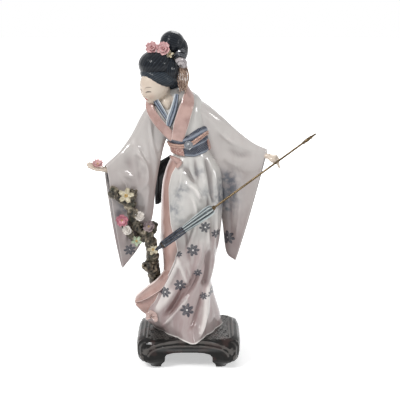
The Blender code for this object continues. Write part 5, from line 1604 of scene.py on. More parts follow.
@dataclass
class Obi:
    """The sash: a slate band with a dark fold above it, a cord and a round brooch."""

    shop: Workshop
    body: RobeBody
    rounds: int = 200
    top_line: Line = ((-26, 261.5), (-19.5, 260.4), (-8, 258.9), (4.6, 263.6), (16.1, 270.2), (20, 271.2))
    bottom_line: Line = ((-24, 242.5), (-14.4, 242), (-6, 240.9), (4.6, 240.4), (17.2, 243.7), (22.5, 247.5))
    cord_line: Line = ((-20, 251.5), (-6, 251.8), (1, 253.5), (7, 256), (19, 264))
    end_height: float = 0.0125
    sunk: float = 0.0008
    cord_proud: float = 0.003
    cord_twists: int = 45
    knot_line: tuple = ((-17.5, -17.8, 240), (-12.5, -20.2, 237.5), (-8.5, -20.8, 234.5), (-11, -21.2, 230))
    brooch: tuple[float, float] = (0.0008, 0.2537)
    brooch_radius: float = 0.0048

    def levels(self, line: Line, angles: np.ndarray) -> np.ndarray:
        """The height of a line round the waist, level with its ends behind.

        Args:
            line: The line as (x, z), in millimetres.
            angles: Angles from the front.

        Returns:
            The height at each angle.
        """
        _, mid_x, _, half, *_ = self.body.section(0.252)
        xs, zs = MM * np.array(line).T
        return np.interp(mid_x + half * np.sin(angles), xs, zs)

    def wall(self, heights: np.ndarray, angles: np.ndarray, proud: float) -> np.ndarray:
        """Points that stand proud of the waist.

        Args:
            heights: Their heights.
            angles: Their angles from the front.
            proud: How far they stand out.

        Returns:
            The points.
        """
        rows = (self.body.ring(float(height), np.array([angle]), False)
                for height, angle in zip(heights, angles))
        return np.array([point[0] + out[0] * proud for point, out in rows])

    def band(self, low: Line, high: Line, profile: Sequence[tuple[float, float]], start: float = -180.0,
             stop: float = 180.0) -> Shape:
        """A band between two lines.

        Args:
            low: Its lower edge as (x, z), in millimetres.
            high: Its upper edge.
            profile: Share of the height and how proud, from the bottom up.
            start: Where it begins, in degrees from the front.
            stop: Where it ends.

        Returns:
            The closed band, with "across" from bottom to top.
        """
        whole = stop - start >= 359.0
        angles = np.radians(np.linspace(start, stop, self.rounds, endpoint=not whole))
        bottom, top = self.levels(low, angles), self.levels(high, angles)
        inside = [(share, -self.sunk) for share, _ in reversed(profile)]
        rows, shares = [], []
        for share, proud in [*profile, *inside]:
            rows.append(self.wall(bottom + (top - bottom) * share, angles, proud))
            shares.append(np.full(len(angles), share))
        grid, across = np.array(rows).transpose(1, 0, 2), np.array(shares).T
        if whole:
            count = grid.shape[1]
            base = np.arange(len(angles))[:, None] * count
            after = (base + count) % (len(angles) * count)
            here, there = np.arange(count)[None], (np.arange(count)[None] + 1) % count
            quads = np.stack([base + here, base + there, after + there, after + here], -1).reshape(-1, 4)
            return Shape(grid.reshape(-1, 3), quads, np.empty((0, 3), int),
                         {"across": across.reshape(-1)}).outward()
        return Shape.loft(grid, across=across).outward()

    def cord(self, shift: float, radius: float) -> Shape:
        """The cord that is tied round the sash.

        Args:
            shift: How far above its line it lies.
            radius: Its radius.

        Returns:
            The twisted cord.
        """
        angles = np.radians(np.linspace(-180.0, 180.0, 181))
        points = self.wall(self.levels(self.cord_line, angles) + shift, angles, self.cord_proud)
        twist = np.cos(np.linspace(0.0, 2 * np.pi * self.cord_twists, len(angles)))
        return bar(points, radius * (1.0 + 0.12 * twist), 14)

    def make(self) -> None:
        """The sash's pieces."""
        shop = self.shop
        sash = ((0.0, 0.0006), (0.04, 0.0019), (0.12, 0.0024), (0.3, 0.0021), (0.42, 0.0024), (0.46, 0.003),
                (0.55, 0.0026), (0.74, 0.0026), (0.78, 0.0034), (0.9, 0.0036), (0.97, 0.003), (1.0, 0.0012))
        shop.cloth("obi", self.band(self.bottom_line, self.top_line, sash), Finish.OBI)
        cuff = ((0.0, 0.001), (0.05, 0.003), (0.5, 0.0033), (0.95, 0.003), (1.0, 0.001))
        lower = tuple((x, z + self.end_height / MM) for x, z in self.bottom_line)
        shop.cloth("obi_tie_end", self.band(self.bottom_line, lower, cuff, -95.0, -20.0), Finish.OBI_END)
        shop.cloth("obi_side_end", self.band(self.bottom_line, lower, cuff, 64.0, 108.0), Finish.OBI_END)
        cords = self.cord(0.0009, 0.0013).join(self.cord(-0.0014, 0.0011))
        shop.cloth("obi_cord", cords, Finish.CORD)
        self.make_knot()
        self.make_brooch()

    def make_knot(self) -> None:
        """The lining's gathered knot below the sash's tied end."""
        line = curve_through(MM * np.array(self.knot_line), 12)
        reach = 0.0017 + 0.0011 * np.sin(np.linspace(0.0, np.pi, len(line)))
        path, radii = rounded_ends(line, reach)
        knot = bar(path, radii, 28, rim=np.zeros((len(path), 28)))
        self.shop.cloth("lining_knot", knot, Finish.LINING, 80.0)

    def make_brooch(self) -> None:
        """The round clasp, with a rim, a groove and a raised middle."""
        x, z = self.brooch
        _, tree = self.shop.solid("robe")
        hit = tree.ray_cast(Vector((x, -0.2, z)), Vector((0.0, 1.0, 0.0)))[0]
        front = hit.y if hit else -0.021
        turn = full_turn(48)
        rings = []
        for out, reach in ((-0.003, 0.92), (0.0002, 1.0), (0.001, 0.98), (0.0013, 0.86), (0.0008, 0.74),
                           (0.0009, 0.6), (0.0016, 0.5), (0.002, 0.34), (0.0014, 0.22), (0.0015, 0.08)):
            petal = 1.0 + (0.05 * np.cos(8 * turn) if 0.3 < reach < 0.8 else 0.0)
            rings.append(np.stack([x + self.brooch_radius * reach * petal * np.cos(turn),
                                   np.full(48, front - out),
                                   z + self.brooch_radius * reach * petal * np.sin(turn)], -1))
        self.shop.cloth("obi_brooch", Shape.loft(np.array(rings)).outward(), Finish.SILVER, 35.0)


@dataclass
class Train:
    """The lining that swirls out to the figure's right: an upper fold with a rim over a lower one."""

    shop: Workshop
    stations: tuple = (
        ((-22, -10, 115), (-21.5, -20, 101), (-21.5, -19, 98), (-20, -16, 60)),
        ((-30, -9, 102), (-30, -19, 89), (-30, -17, 86.8), (-30, -15, 56)),
        ((-37, -8, 93.5), (-37.5, -18, 83), (-37, -15, 80.6), (-36, -13, 54.5)),
        ((-45, -7, 87), (-45.5, -17, 77.5), (-45, -13.5, 75.2), (-43, -12, 54.5)),
        ((-53, -6.5, 80), (-53.5, -15.5, 73.2), (-52.8, -12.5, 71.2), (-49, -12, 57)),
        ((-58.5, -7, 75), (-59, -13.5, 71.2), (-58, -11.5, 69.4), (-54, -12, 61)),
        ((-60.2, -8.5, 71.8), (-60.4, -11.5, 70.3), (-59.8, -10.8, 69), (-57.5, -11.2, 65)),
    )
    thickness: float = 0.0032
    ruffle_middle: tuple[float, float, float] = (-0.0412, -0.0226, 0.0568)
    ruffle_reach: float = 0.0038
    ruffle_width: float = 0.007
    ripples: float = 4.5

    def shape(self) -> Shape:
        """The swirl, with "rim" on its fold and on its free edge, where the lining glaze paints a highlight.

        Returns:
            The closed shape.
        """
        rows = curve_through(MM * np.array(self.stations).reshape(-1, 12), 10).reshape(-1, 4, 3)
        rings, rims = [], []
        for top, crest, under, low in rows:
            bulge = (top + crest) / 2 + (0.0, -0.0028, 0.0008)
            belly = (under + low) / 2 + (-0.0006, -0.0016, 0.0)
            upper = curve_through((top, bulge, crest), 9)
            lower = curve_through((under, belly, low), 9)
            front = np.vstack([upper, (crest + under) / 2 + (0.0, -0.0003, 0.0), lower])
            back = front[::-1] + (0.0, self.thickness, 0.0)
            lip_top = (front[0] + back[-1]) / 2 + (0.0, 0.0, self.thickness * 0.45)
            lip_low = (front[-1] + back[0]) / 2 - (0.0, 0.0, self.thickness * 0.45)
            rings.append(np.vstack([front, lip_low, back, lip_top]))
            # "rim" is high on the fold's crest and along the free edge, where the lining glaze paints a
            # highlight; it also rises along the last rows, so that the end is paler
            fold = np.exp(-(np.arange(len(front)) - 18.0) ** 2 / 1.2)
            edge = np.exp(-np.arange(len(front)) ** 2 / 1.5) * 0.9
            shown = np.maximum(fold, edge)
            rims.append(np.concatenate([shown, [0.9], np.zeros(len(front)), [0.9]]))
        rims = np.array(rims)
        rims[-6:] = np.maximum(rims[-6:], np.linspace(0.2, 1.0, 6)[:, None])
        return Shape.loft(np.array(rings), rim=rims, across=rims).outward()

    def make(self) -> None:
        """The swirl and the little ruffle where it meets the hem."""
        self.shop.cloth("lining_swirl", self.shape(), Finish.LINING, 60.0)
        self.make_ruffle()

    def make_ruffle(self) -> None:
        """The panel's lower corner, turned up in a rippled fan."""
        turns = np.linspace(0.0, 1.0, 96)
        angle = np.pi * (1.22 - 1.5 * turns)
        ripple = np.cos(2 * np.pi * self.ripples * turns)
        reach = self.ruffle_reach + 0.0004 * ripple
        across = np.cos(angle) * reach
        fan = np.stack([across, -0.5 * across - 0.0006 * ripple, np.sin(angle) * reach * 1.15], -1)
        facings = np.stack([0.25 * np.cos(angle) - 0.5, np.full(len(turns), -1.0), 0.25 * np.sin(angle)], -1)
        widths = np.full(len(turns), self.ruffle_width)
        shape = Ribbon(self.ruffle_middle + fan, facings, widths, 0.0017, 10).shape()
        # The whole ruffle is paled towards the lining glaze's rim colour, which is its own mauve-white
        shape.values["rim"] = np.full(len(shape.verts), 0.64)
        self.shop.cloth("hem_ruffle", shape, Finish.LINING, 60.0)


@dataclass
class Bow:
    """The black bow on the figure's back."""

    shop: Workshop
    voxel: float = 0.0008

    def make(self) -> None:
        """The bow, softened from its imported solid."""
        mesh = self.shop.softened("obi_bow", self.voxel, 3)
        self.shop.piece("obi_bow_cloth", mesh, Finish.BOW, "bow_glaze", ("obi_bow",), crease=60.0)


@dataclass
class Blossom:
    """A blossom of cupped petals round a cushion of stamens, laid out by Geometry Nodes."""

    shop: Workshop
    name: str
    radius: float
    petals: int
    finish: Finish
    layers: int
    slim: float
    stamens: int = 7
    tilt: float = 0.1
    wobble: float = 0.16

    def petal(self) -> bpy.types.Object:
        """One petal of unit length that grows along +X, notched at its tip.

        Returns:
            The petal's object, which is in no scene.
        """
        rows, columns, thick = 9, 7, 0.07
        along = np.linspace(0.0, 1.0, rows)[:, None]
        side = np.linspace(-1.0, 1.0, columns)[None]
        width = self.slim * (0.13 + 0.4 * np.sin(np.pi * along ** 0.8 * 0.86))
        x = along * (1.0 - 0.1 * (1.0 - np.abs(side)) ** 2 * (along > 0.8))
        z = 0.2 * along ** 2 + 0.16 * side ** 2 * along + 0.03 * np.cos(5 * side)
        top = np.stack([x, width * side, z], -1)
        rings = np.concatenate([top, top[:, ::-1] - (0.0, 0.0, thick)], 1)
        mesh = self.shop.mesh_of("petal", Shape.loft(rings).outward())
        return bpy.data.objects.new(self.name + " petal", mesh)

    def stamen(self) -> bpy.types.Object:
        """A small ball for the blossom's middle.

        Returns:
            The ball's object, which is in no scene.
        """
        bm = bmesh.new()
        bmesh.ops.create_icosphere(bm, subdivisions=1, radius=0.075)
        mesh = bpy.data.meshes.new("stamen")
        bm.to_mesh(mesh)
        bm.free()
        return bpy.data.objects.new(self.name + " stamen", mesh)

    def layout(self) -> bpy.types.NodeTree:
        """The node tree: rings of petals, each shorter and steeper, round a ring of stamens.

        Returns:
            The tree, with the inputs "Petals", "Radius" and "Tilt".
        """
        graph = Graph(bpy.data.node_groups.new(self.name + " layout", "GeometryNodeTree"))
        graph.open("OUTPUT", Geometry="Geometry")
        graph.open("INPUT", Petals="Int", Radius="Float", Tilt="Float")
        petals, radius, tilt = (Level(graph, socket) for socket in graph.add("NodeGroupInput").outputs[:3])
        join = graph.add("GeometryNodeJoinGeometry")
        for k in range(self.layers):
            ring = self.ring(graph, self.petal(), petals, radius * 0.02, radius * (1.0 - 0.3 * k),
                             tilt - 0.45 * k, 3 + k)
            graph.feed(join.inputs[0], graph.finish(ring, self.shop.material(self.finish)))
        cushion = self.ring(graph, self.stamen(), self.stamens, radius * 0.15, radius * 1.5, tilt, 10)
        graph.feed(join.inputs[0], graph.finish(cushion, self.shop.material(Finish.STAMEN)))
        graph.add("NodeGroupOutput", {0: join.outputs[0]})
        return graph.tree

    def ring(self, graph: Graph, part: bpy.types.Object, count: Level | int, reach: Level, size: Level,
             tilt: Level, seed: int) -> bpy.types.Node:
        """One ring of instances.

        Args:
            graph: The node tree.
            part: The object to repeat.
            count: How often it is repeated.
            reach: The ring's radius.
            size: The scale of each.
            tilt: How far each lies back.
            seed: What varies the turns between them.

        Returns:
            The node that lays them out.
        """
        circle = graph.add("GeometryNodeMeshCircle", {"Vertices": count, "Radius": reach})
        index = Level(graph, graph.add("GeometryNodeInputIndex").outputs[0])
        random = graph.add("FunctionNodeRandomValue", {2: -self.wobble, 3: self.wobble, "Seed": seed})
        turn = index / count * (2.0 * math.pi) + Level(graph, random.outputs[1])
        spin = graph.add("ShaderNodeCombineXYZ", {"Y": tilt, "Z": turn})
        info = graph.add("GeometryNodeObjectInfo", {"Object": part})
        return graph.add("GeometryNodeInstanceOnPoints", {
            "Points": circle.outputs[0], "Instance": info.outputs["Geometry"], "Rotation": spin.outputs[0],
            "Scale": size})

    def mesh(self, place: np.ndarray, facing: Sequence[float], turn: float) -> bpy.types.Mesh:
        """The blossom's mesh where it sits.

        Args:
            place: The middle of the blossom's back, in the figure's datum.
            facing: The way that it faces.
            turn: How far it is turned round that way.

        Returns:
            The mesh.
        """
        wanted = {"Petals": self.petals, "Radius": self.radius, "Tilt": self.tilt}
        mesh = self.shop.laid_out(self.name, bpy.data.meshes.new(self.name), self.layout(), wanted)
        spin = Vector(facing).normalized().to_track_quat("Z", "Y").to_matrix().to_4x4()
        mesh.transform(Matrix.Translation(Vector(place)) @ spin @ Matrix.Rotation(turn, 4, "Z"))
        return mesh


@dataclass
class Blossoms:
    """The blossoms on the branch, in the hair and in the offered hand."""

    shop: Workshop
    branch: tuple = (
        ("cream_star_blossom", 0.0082, 5, Finish.CREAM, 1), ("white_rose_upper", 0.005, 6, Finish.WHITE, 3),
        ("white_rose_lower", 0.005, 6, Finish.WHITE, 3), ("pink_branch_blossom", 0.0064, 5, Finish.PINK, 2),
        ("green_star_blossom", 0.0056, 5, Finish.SAGE, 1), ("mauve_blossom", 0.0062, 5, Finish.MAUVE, 2),
        ("cream_trunk_blossom", 0.006, 5, Finish.CREAM, 1),
    )
    others: tuple = (
        ("pink_hair_blossom_left", 0.0064, 5, Finish.ROSE, 3, (-0.2, -1.0, 0.5)),
        ("pink_hair_blossom_right", 0.007, 6, Finish.ROSE, 3, (-0.2, -1.0, 0.5)),
        ("cream_hair_blossom_left", 0.0042, 5, Finish.CREAM, 1, (-0.2, -1.0, 0.5)),
        ("cream_hair_blossom_right", 0.0042, 5, Finish.CREAM, 1, (-0.2, -1.0, 0.5)),
        ("offered_blossom", 0.0056, 5, Finish.ROSE, 2, (0.1, -0.5, 0.85)),
    )

    def one(self, name: str, radius: float, petals: int, finish: Finish, layers: int,
            facing: Sequence[float], turn: float) -> None:
        """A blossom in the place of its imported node.

        Args:
            name: The node's name.
            radius: The blossom's radius.
            petals: How many petals each ring has.
            finish: Their finish.
            layers: How many rings it has.
            facing: The way that it faces.
            turn: How far it is turned round that way.
        """
        verts, _ = self.shop.solid(name)
        way = unit(facing)
        reach = verts @ way
        place = verts.mean(axis=0)
        sink = 0.42 if name == "offered_blossom" else 0.05
        place = place + way * ((reach.min() + reach.max()) / 2 - place @ way - radius * sink)
        slim = 0.6 if finish in (Finish.CREAM, Finish.SAGE) else 1.0
        mesh = Blossom(self.shop, name, radius, petals, finish, layers, slim).mesh(place, facing, turn)
        slots = {Finish.CREAM: "cream_petals", Finish.WHITE: "white_petals", Finish.PINK: "pink_petals",
                 Finish.ROSE: "pink_petals", Finish.SAGE: "sage_petals", Finish.MAUVE: "mauve_petals"}
        self.shop.piece(name + "_petals", mesh, finish, slots[finish], (name,), crease=60.0)

    def make(self) -> None:
        """Every blossom."""
        for k, (name, radius, petals, finish, layers) in enumerate(self.branch):
            facing = (0.25 * math.sin(2.1 * k), -1.0, 0.3 + 0.2 * math.cos(1.3 * k))
            self.one(name, radius, petals, finish, layers, facing, 0.5 * k)
        for k, (name, radius, petals, finish, layers, facing) in enumerate(self.others):
            self.one(name, radius, petals, finish, layers, facing, 0.7 * k)


@dataclass
class Branch:
    """The gnarled branch with knots, sawn stubs and rough bark."""

    shop: Workshop
    voxel: float = 0.0008
    roughness: float = 0.0019
    bulk: float = 0.0005
    stub_bulk: float = 0.0016
    stub_ends: tuple = ((-0.08, 0.205), (-0.044, 0.116))
    stub_reach: float = 0.0075

    def make(self) -> None:
        """The branch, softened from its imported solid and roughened."""
        mesh = self.shop.softened("branch", self.voxel, 2)
        count = len(mesh.vertices)
        places, normals = np.empty(count * 3), np.empty(count * 3)
        mesh.vertices.foreach_get("co", places)
        mesh.vertices.foreach_get("normal", normals)
        places, normals = places.reshape(-1, 3), normals.reshape(-1, 3)
        knots = np.empty(count)
        for k, place in enumerate(places):
            lump = noise.fractal(Vector(place) * 210.0, 0.8, 2.1, 3)
            groove = abs(noise.noise(Vector(place) * Vector((420.0, 420.0, 150.0)) + Vector((7, 3, 1))))
            knots[k] = lump * 0.75 + groove * 0.9 - 0.18
        bulk = np.full(count, self.bulk)
        for x, z in self.stub_ends:
            away = np.hypot(places[:, 0] - x, places[:, 2] - z)
            bulk += self.stub_bulk * smooth(1.0 - away / self.stub_reach)
        places += normals * (knots * self.roughness + bulk)[:, None]
        mesh.vertices.foreach_set("co", places.ravel())
        made = mesh.attributes.new("knot", "FLOAT", "POINT")
        made.data.foreach_set("value", knots.astype(np.float32))
        mesh.update()
        self.shop.piece("branch_bark", mesh, Finish.BARK, "bark_glaze", ("branch",), crease=80.0)


@dataclass
class Hands:
    """Both hands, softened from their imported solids."""

    shop: Workshop
    voxel: float = 0.00038

    def make(self) -> None:
        """The two hands."""
        for node in ("right_hand", "left_hand"):
            mesh = self.shop.softened(node, self.voxel, 3)
            self.shop.piece(node + "_skin", mesh, Finish.SKIN, "skin_glaze", (node,), crease=80.0)


@dataclass
class Parasol:
    """A closed parasol: pleated silk in two tones, a brass shaft and a turned handle."""

    shop: Workshop
    length: float = 0.0763
    radius: float = 0.006
    rod_radius: float = 0.0011
    grip_length: float = 0.017
    grip_radius: float = 0.0019
    ribs: int = 8
    rounds: int = 192
    profile: Line = ((0, 0.62), (0.02, 0.94), (0.1, 0.97), (0.3, 0.84), (0.49, 0.68), (0.52, 0.78),
                     (0.7, 0.72), (0.85, 0.62), (0.87, 0.66), (0.9, 0.58), (0.92, 0.34), (0.97, 0.24),
                     (1.0, 0.12))

    def frame(self) -> tuple[np.ndarray, np.ndarray, np.ndarray]:
        """Where the canopy starts.

        Returns:
            Its top, and two directions across the shaft.
        """
        way = SHAFT_DIRECTION
        side = unit(np.cross(way, (0.0, 0.0, 1.0)))
        return GRIP_POINT - way * GRIP_TO_CANOPY, side, np.cross(way, side)

    def cloth(self, low: float, high: float, rows: int, proud: float = 0.0) -> Shape:
        """Pleated cloth round part of the canopy.

        Args:
            low: Share of the canopy's length at which it starts.
            high: Share at which it stops.
            rows: How many rings it has.
            proud: How far it lies over the canopy.

        Returns:
            The closed cloth, with "across" one on its ribs.
        """
        top, side, other = self.frame()
        turn = full_turn(self.rounds)
        shares, reaches = zip(*self.profile)
        rings, crests = [], []
        for share in np.linspace(low, high, rows):
            reach = self.radius * float(np.interp(share, shares, reaches)) + proud
            twist = turn + 0.55 * share
            wave = (twist * self.ribs / (2 * np.pi)) % 1.0
            # across: one on each pleat's crest and nought in its valley, where the silk glazes paint
            # highlight and shade
            crests.append(1.0 - np.sin(np.pi * wave))
            pleat = 1.0 - 0.2 * np.sin(np.pi * wave) ** 0.7 * (1.0 - 0.5 * smooth((share - 0.86) / 0.06))
            fold = 0.05 * np.sin(twist * 2 * self.ribs + 9.0 * share)
            ring = reach * (pleat + fold * (share < 0.86))
            rings.append(top - SHAFT_DIRECTION * (self.length * share)
                         + ring[:, None] * (np.cos(turn)[:, None] * side + np.sin(turn)[:, None] * other))
        return Shape.loft(np.array(rings), across=np.array(crests)).outward()

    def make(self) -> None:
        """The parasol's pieces."""
        shop = self.shop
        shop.piece("parasol_upper_silk", self.cloth(0.0, 0.505, 40), Finish.PALE_SILK, "parasol_glaze",
                   ("parasol_canopy",), crease=60.0)
        shop.piece("parasol_lower_silk", self.cloth(0.5, 1.0, 50, 0.0002), Finish.NAVY_SILK,
                   "parasol_glaze", ("parasol_canopy",), crease=60.0)
        top, side, other = self.frame()
        ring_at = top - SHAFT_DIRECTION * (self.length * 0.875)
        turn = np.linspace(0.0, 2 * np.pi, 40)
        line = ring_at + 0.0036 * (np.cos(turn)[:, None] * side + np.sin(turn)[:, None] * other)
        shop.piece("parasol_tie", bar(line, np.full(40, 0.0006), 10), Finish.BRASS, "parasol_glaze",
                   ("parasol_canopy",))
        end = GRIP_POINT + SHAFT_DIRECTION * (GRIP_TO_END - self.grip_length)
        shaft = np.array([top - SHAFT_DIRECTION * 0.012, top, GRIP_POINT, end + SHAFT_DIRECTION * 0.006])
        shop.piece("parasol_rod", bar(shaft, np.full(4, self.rod_radius), 24), Finish.BRASS, "brass",
                   ("parasol_shaft",))
        cap = np.array([top - SHAFT_DIRECTION * 0.0012, top + SHAFT_DIRECTION * 0.0016])
        cap_path, cap_reach = rounded_ends(cap, np.array([0.003, 0.0022]))
        shop.piece("parasol_collar", bar(cap_path, cap_reach, 24), Finish.BRASS, "brass", ("parasol_shaft",))
        handle = curve_through(((0, 0.6), (0.06, 1.0), (0.14, 0.72), (0.2, 0.95), (0.42, 1.0), (0.55, 0.86),
                                (0.62, 1.0), (0.68, 0.74), (0.9, 0.5), (0.96, 0.62), (1.0, 0.3)), 8)
        handle[:, 0] = np.maximum.accumulate(handle[:, 0])
        path = end + SHAFT_DIRECTION * (handle[:, :1] * self.grip_length)
        shop.piece("parasol_grip", bar(path, handle[:, 1] * self.grip_radius, 28), Finish.BRASS, "brass",
                   ("parasol_handle",), crease=35.0)


@dataclass
class Head:
    """The turned head with a painted face, and the neck and bare chest below it."""

    shop: Workshop
    around: int = 176
    rows: int = 132

    @staticmethod
    def axes() -> np.ndarray:
        """Columns: the head's side, back and crown.

        Returns:
            The three directions as a matrix.
        """
        back = -unit(HEAD_FACING)
        crown = unit(HEAD_CROWN - back * back.dot(HEAD_CROWN))
        return np.stack([np.cross(back, crown), back, crown], 1)

    @staticmethod
    def paint(side: np.ndarray, up: np.ndarray, front: np.ndarray) -> dict[str, np.ndarray]:
        """The painted features, in the face's own directions.

        Args:
            side: Share across the face.
            up: Share up the face.
            front: How far each point faces forward.

        Returns:
            Attributes that are above zero inside each feature.
        """
        x = np.abs(side)
        open_face = smooth((front - 0.2) / 0.2)
        lid = 0.075 - 0.62 * (x - 0.34) ** 2 + 0.1 * (x - 0.34)
        lash = 0.04 * np.clip(1.0 - ((x - 0.36) / 0.225) ** 2, 0.0, 1.0) ** 0.5 - np.abs(up - lid)
        arch = 0.3 - 0.9 * (x - 0.36) ** 2 + 0.06 * x
        brow = 0.032 * np.clip(1.0 - ((x - 0.37) / 0.25) ** 2, 0.0, 1.0) ** 0.5 - np.abs(up - arch)
        bow = -0.405 + 0.02 * np.cos(x * 30.0) * (x < 0.1)
        upper = 0.165 - np.hypot(x * 0.95, (up - bow) * 3.0)
        lower = 0.14 - np.hypot(x * 0.95, (up + 0.47) * 2.4)
        cheeks = 0.55 * np.exp(-(((x - 0.52) / 0.2) ** 2 + ((up + 0.2) / 0.17) ** 2))
        return {"lash": np.where(open_face > 0.5, lash, -1.0), "brow": np.where(open_face > 0.5, brow, -1.0),
                "lip": np.where(open_face > 0.5, np.maximum(upper, lower), -1.0),
                "blush": cheeks * open_face}

    def shape(self) -> Shape:
        """The head, from the crown's pole to the chin's.

        Returns:
            The closed shape.
        """
        lat = np.linspace(0.02, np.pi - 0.02, self.rows)
        lon = full_turn(self.around)
        spacing = lon + 0.45 * np.sin(lon)
        side = np.sin(lat)[:, None] * np.sin(spacing)[None]
        back = np.sin(lat)[:, None] * -np.cos(spacing)[None]
        up = np.broadcast_to(np.cos(lat)[:, None], side.shape)
        front = -back
        x = np.abs(side)
        narrow = 1.0 - smooth(-up * 1.1) * np.where(back < 0.2, 0.26, 0.18)
        reach = np.ones_like(side)
        ahead = smooth(front * 1.6 - 0.35)
        bridge = np.exp(-(side / 0.085) ** 2) * smooth((up + 0.3) / 0.1) * smooth((0.3 - up) / 0.42)
        tip = np.exp(-((side / 0.1) ** 2 + ((up + 0.15) / 0.07) ** 2))
        wings = 0.35 * np.exp(-(((x - 0.105) / 0.05) ** 2 + ((up + 0.185) / 0.045) ** 2))
        sockets = np.exp(-(((x - 0.34) / 0.2) ** 2 + ((up - 0.12) / 0.115) ** 2))
        lids = np.exp(-(((x - 0.35) / 0.15) ** 2 + ((up - 0.1) / 0.06) ** 2))
        mouth = np.exp(-((side / 0.15) ** 2 + ((up + 0.425) / 0.062) ** 2))
        seam = np.exp(-((side / 0.11) ** 2 + ((up + 0.43) / 0.01) ** 2))
        under = np.exp(-((side / 0.16) ** 2 + ((up + 0.545) / 0.05) ** 2))
        chin = np.exp(-((side / 0.2) ** 2 + ((up + 0.74) / 0.13) ** 2))
        cheek = np.exp(-(((x - 0.5) / 0.26) ** 2 + ((up + 0.24) / 0.24) ** 2))
        reach += ahead * (0.06 * bridge + 0.075 * tip + 0.03 * wings - 0.05 * sockets + 0.034 * lids
                          + 0.042 * mouth - 0.026 * seam - 0.026 * under + 0.055 * chin + 0.022 * cheek)
        local = np.stack([side * narrow * reach, back * reach, up * reach], -1) * (HEAD_SIZE / 2)
        return Shape.loft(HEAD_MIDDLE + local @ self.axes().T, **self.paint(side, up, front)).outward()

    def neck(self) -> Shape:
        """Neck and bare chest inside the collars.

        Returns:
            The closed neck.
        """
        rows = curve_through(NECK_SECTIONS, 10)
        turn = full_turn(72)
        rings = np.stack([rows[:, None, 0] + rows[:, None, 3] * np.sin(turn),
                          rows[:, None, 1] - rows[:, None, 4] * np.cos(turn),
                          np.broadcast_to(rows[:, None, 2], (len(rows), 72))], -1)
        none = np.full(rings.shape[:2], -1.0)
        return Shape.loft(rings, lash=none, brow=none, lip=none, blush=none * 0.0).outward()

    def make(self) -> None:
        """Head and neck as pieces."""
        self.shop.piece("face", self.shape(), Finish.SKIN, "skin_glaze", ("head",), crease=80.0)
        self.shop.piece("neck", self.neck(), Finish.SKIN, "skin_glaze", ("head",), crease=80.0)


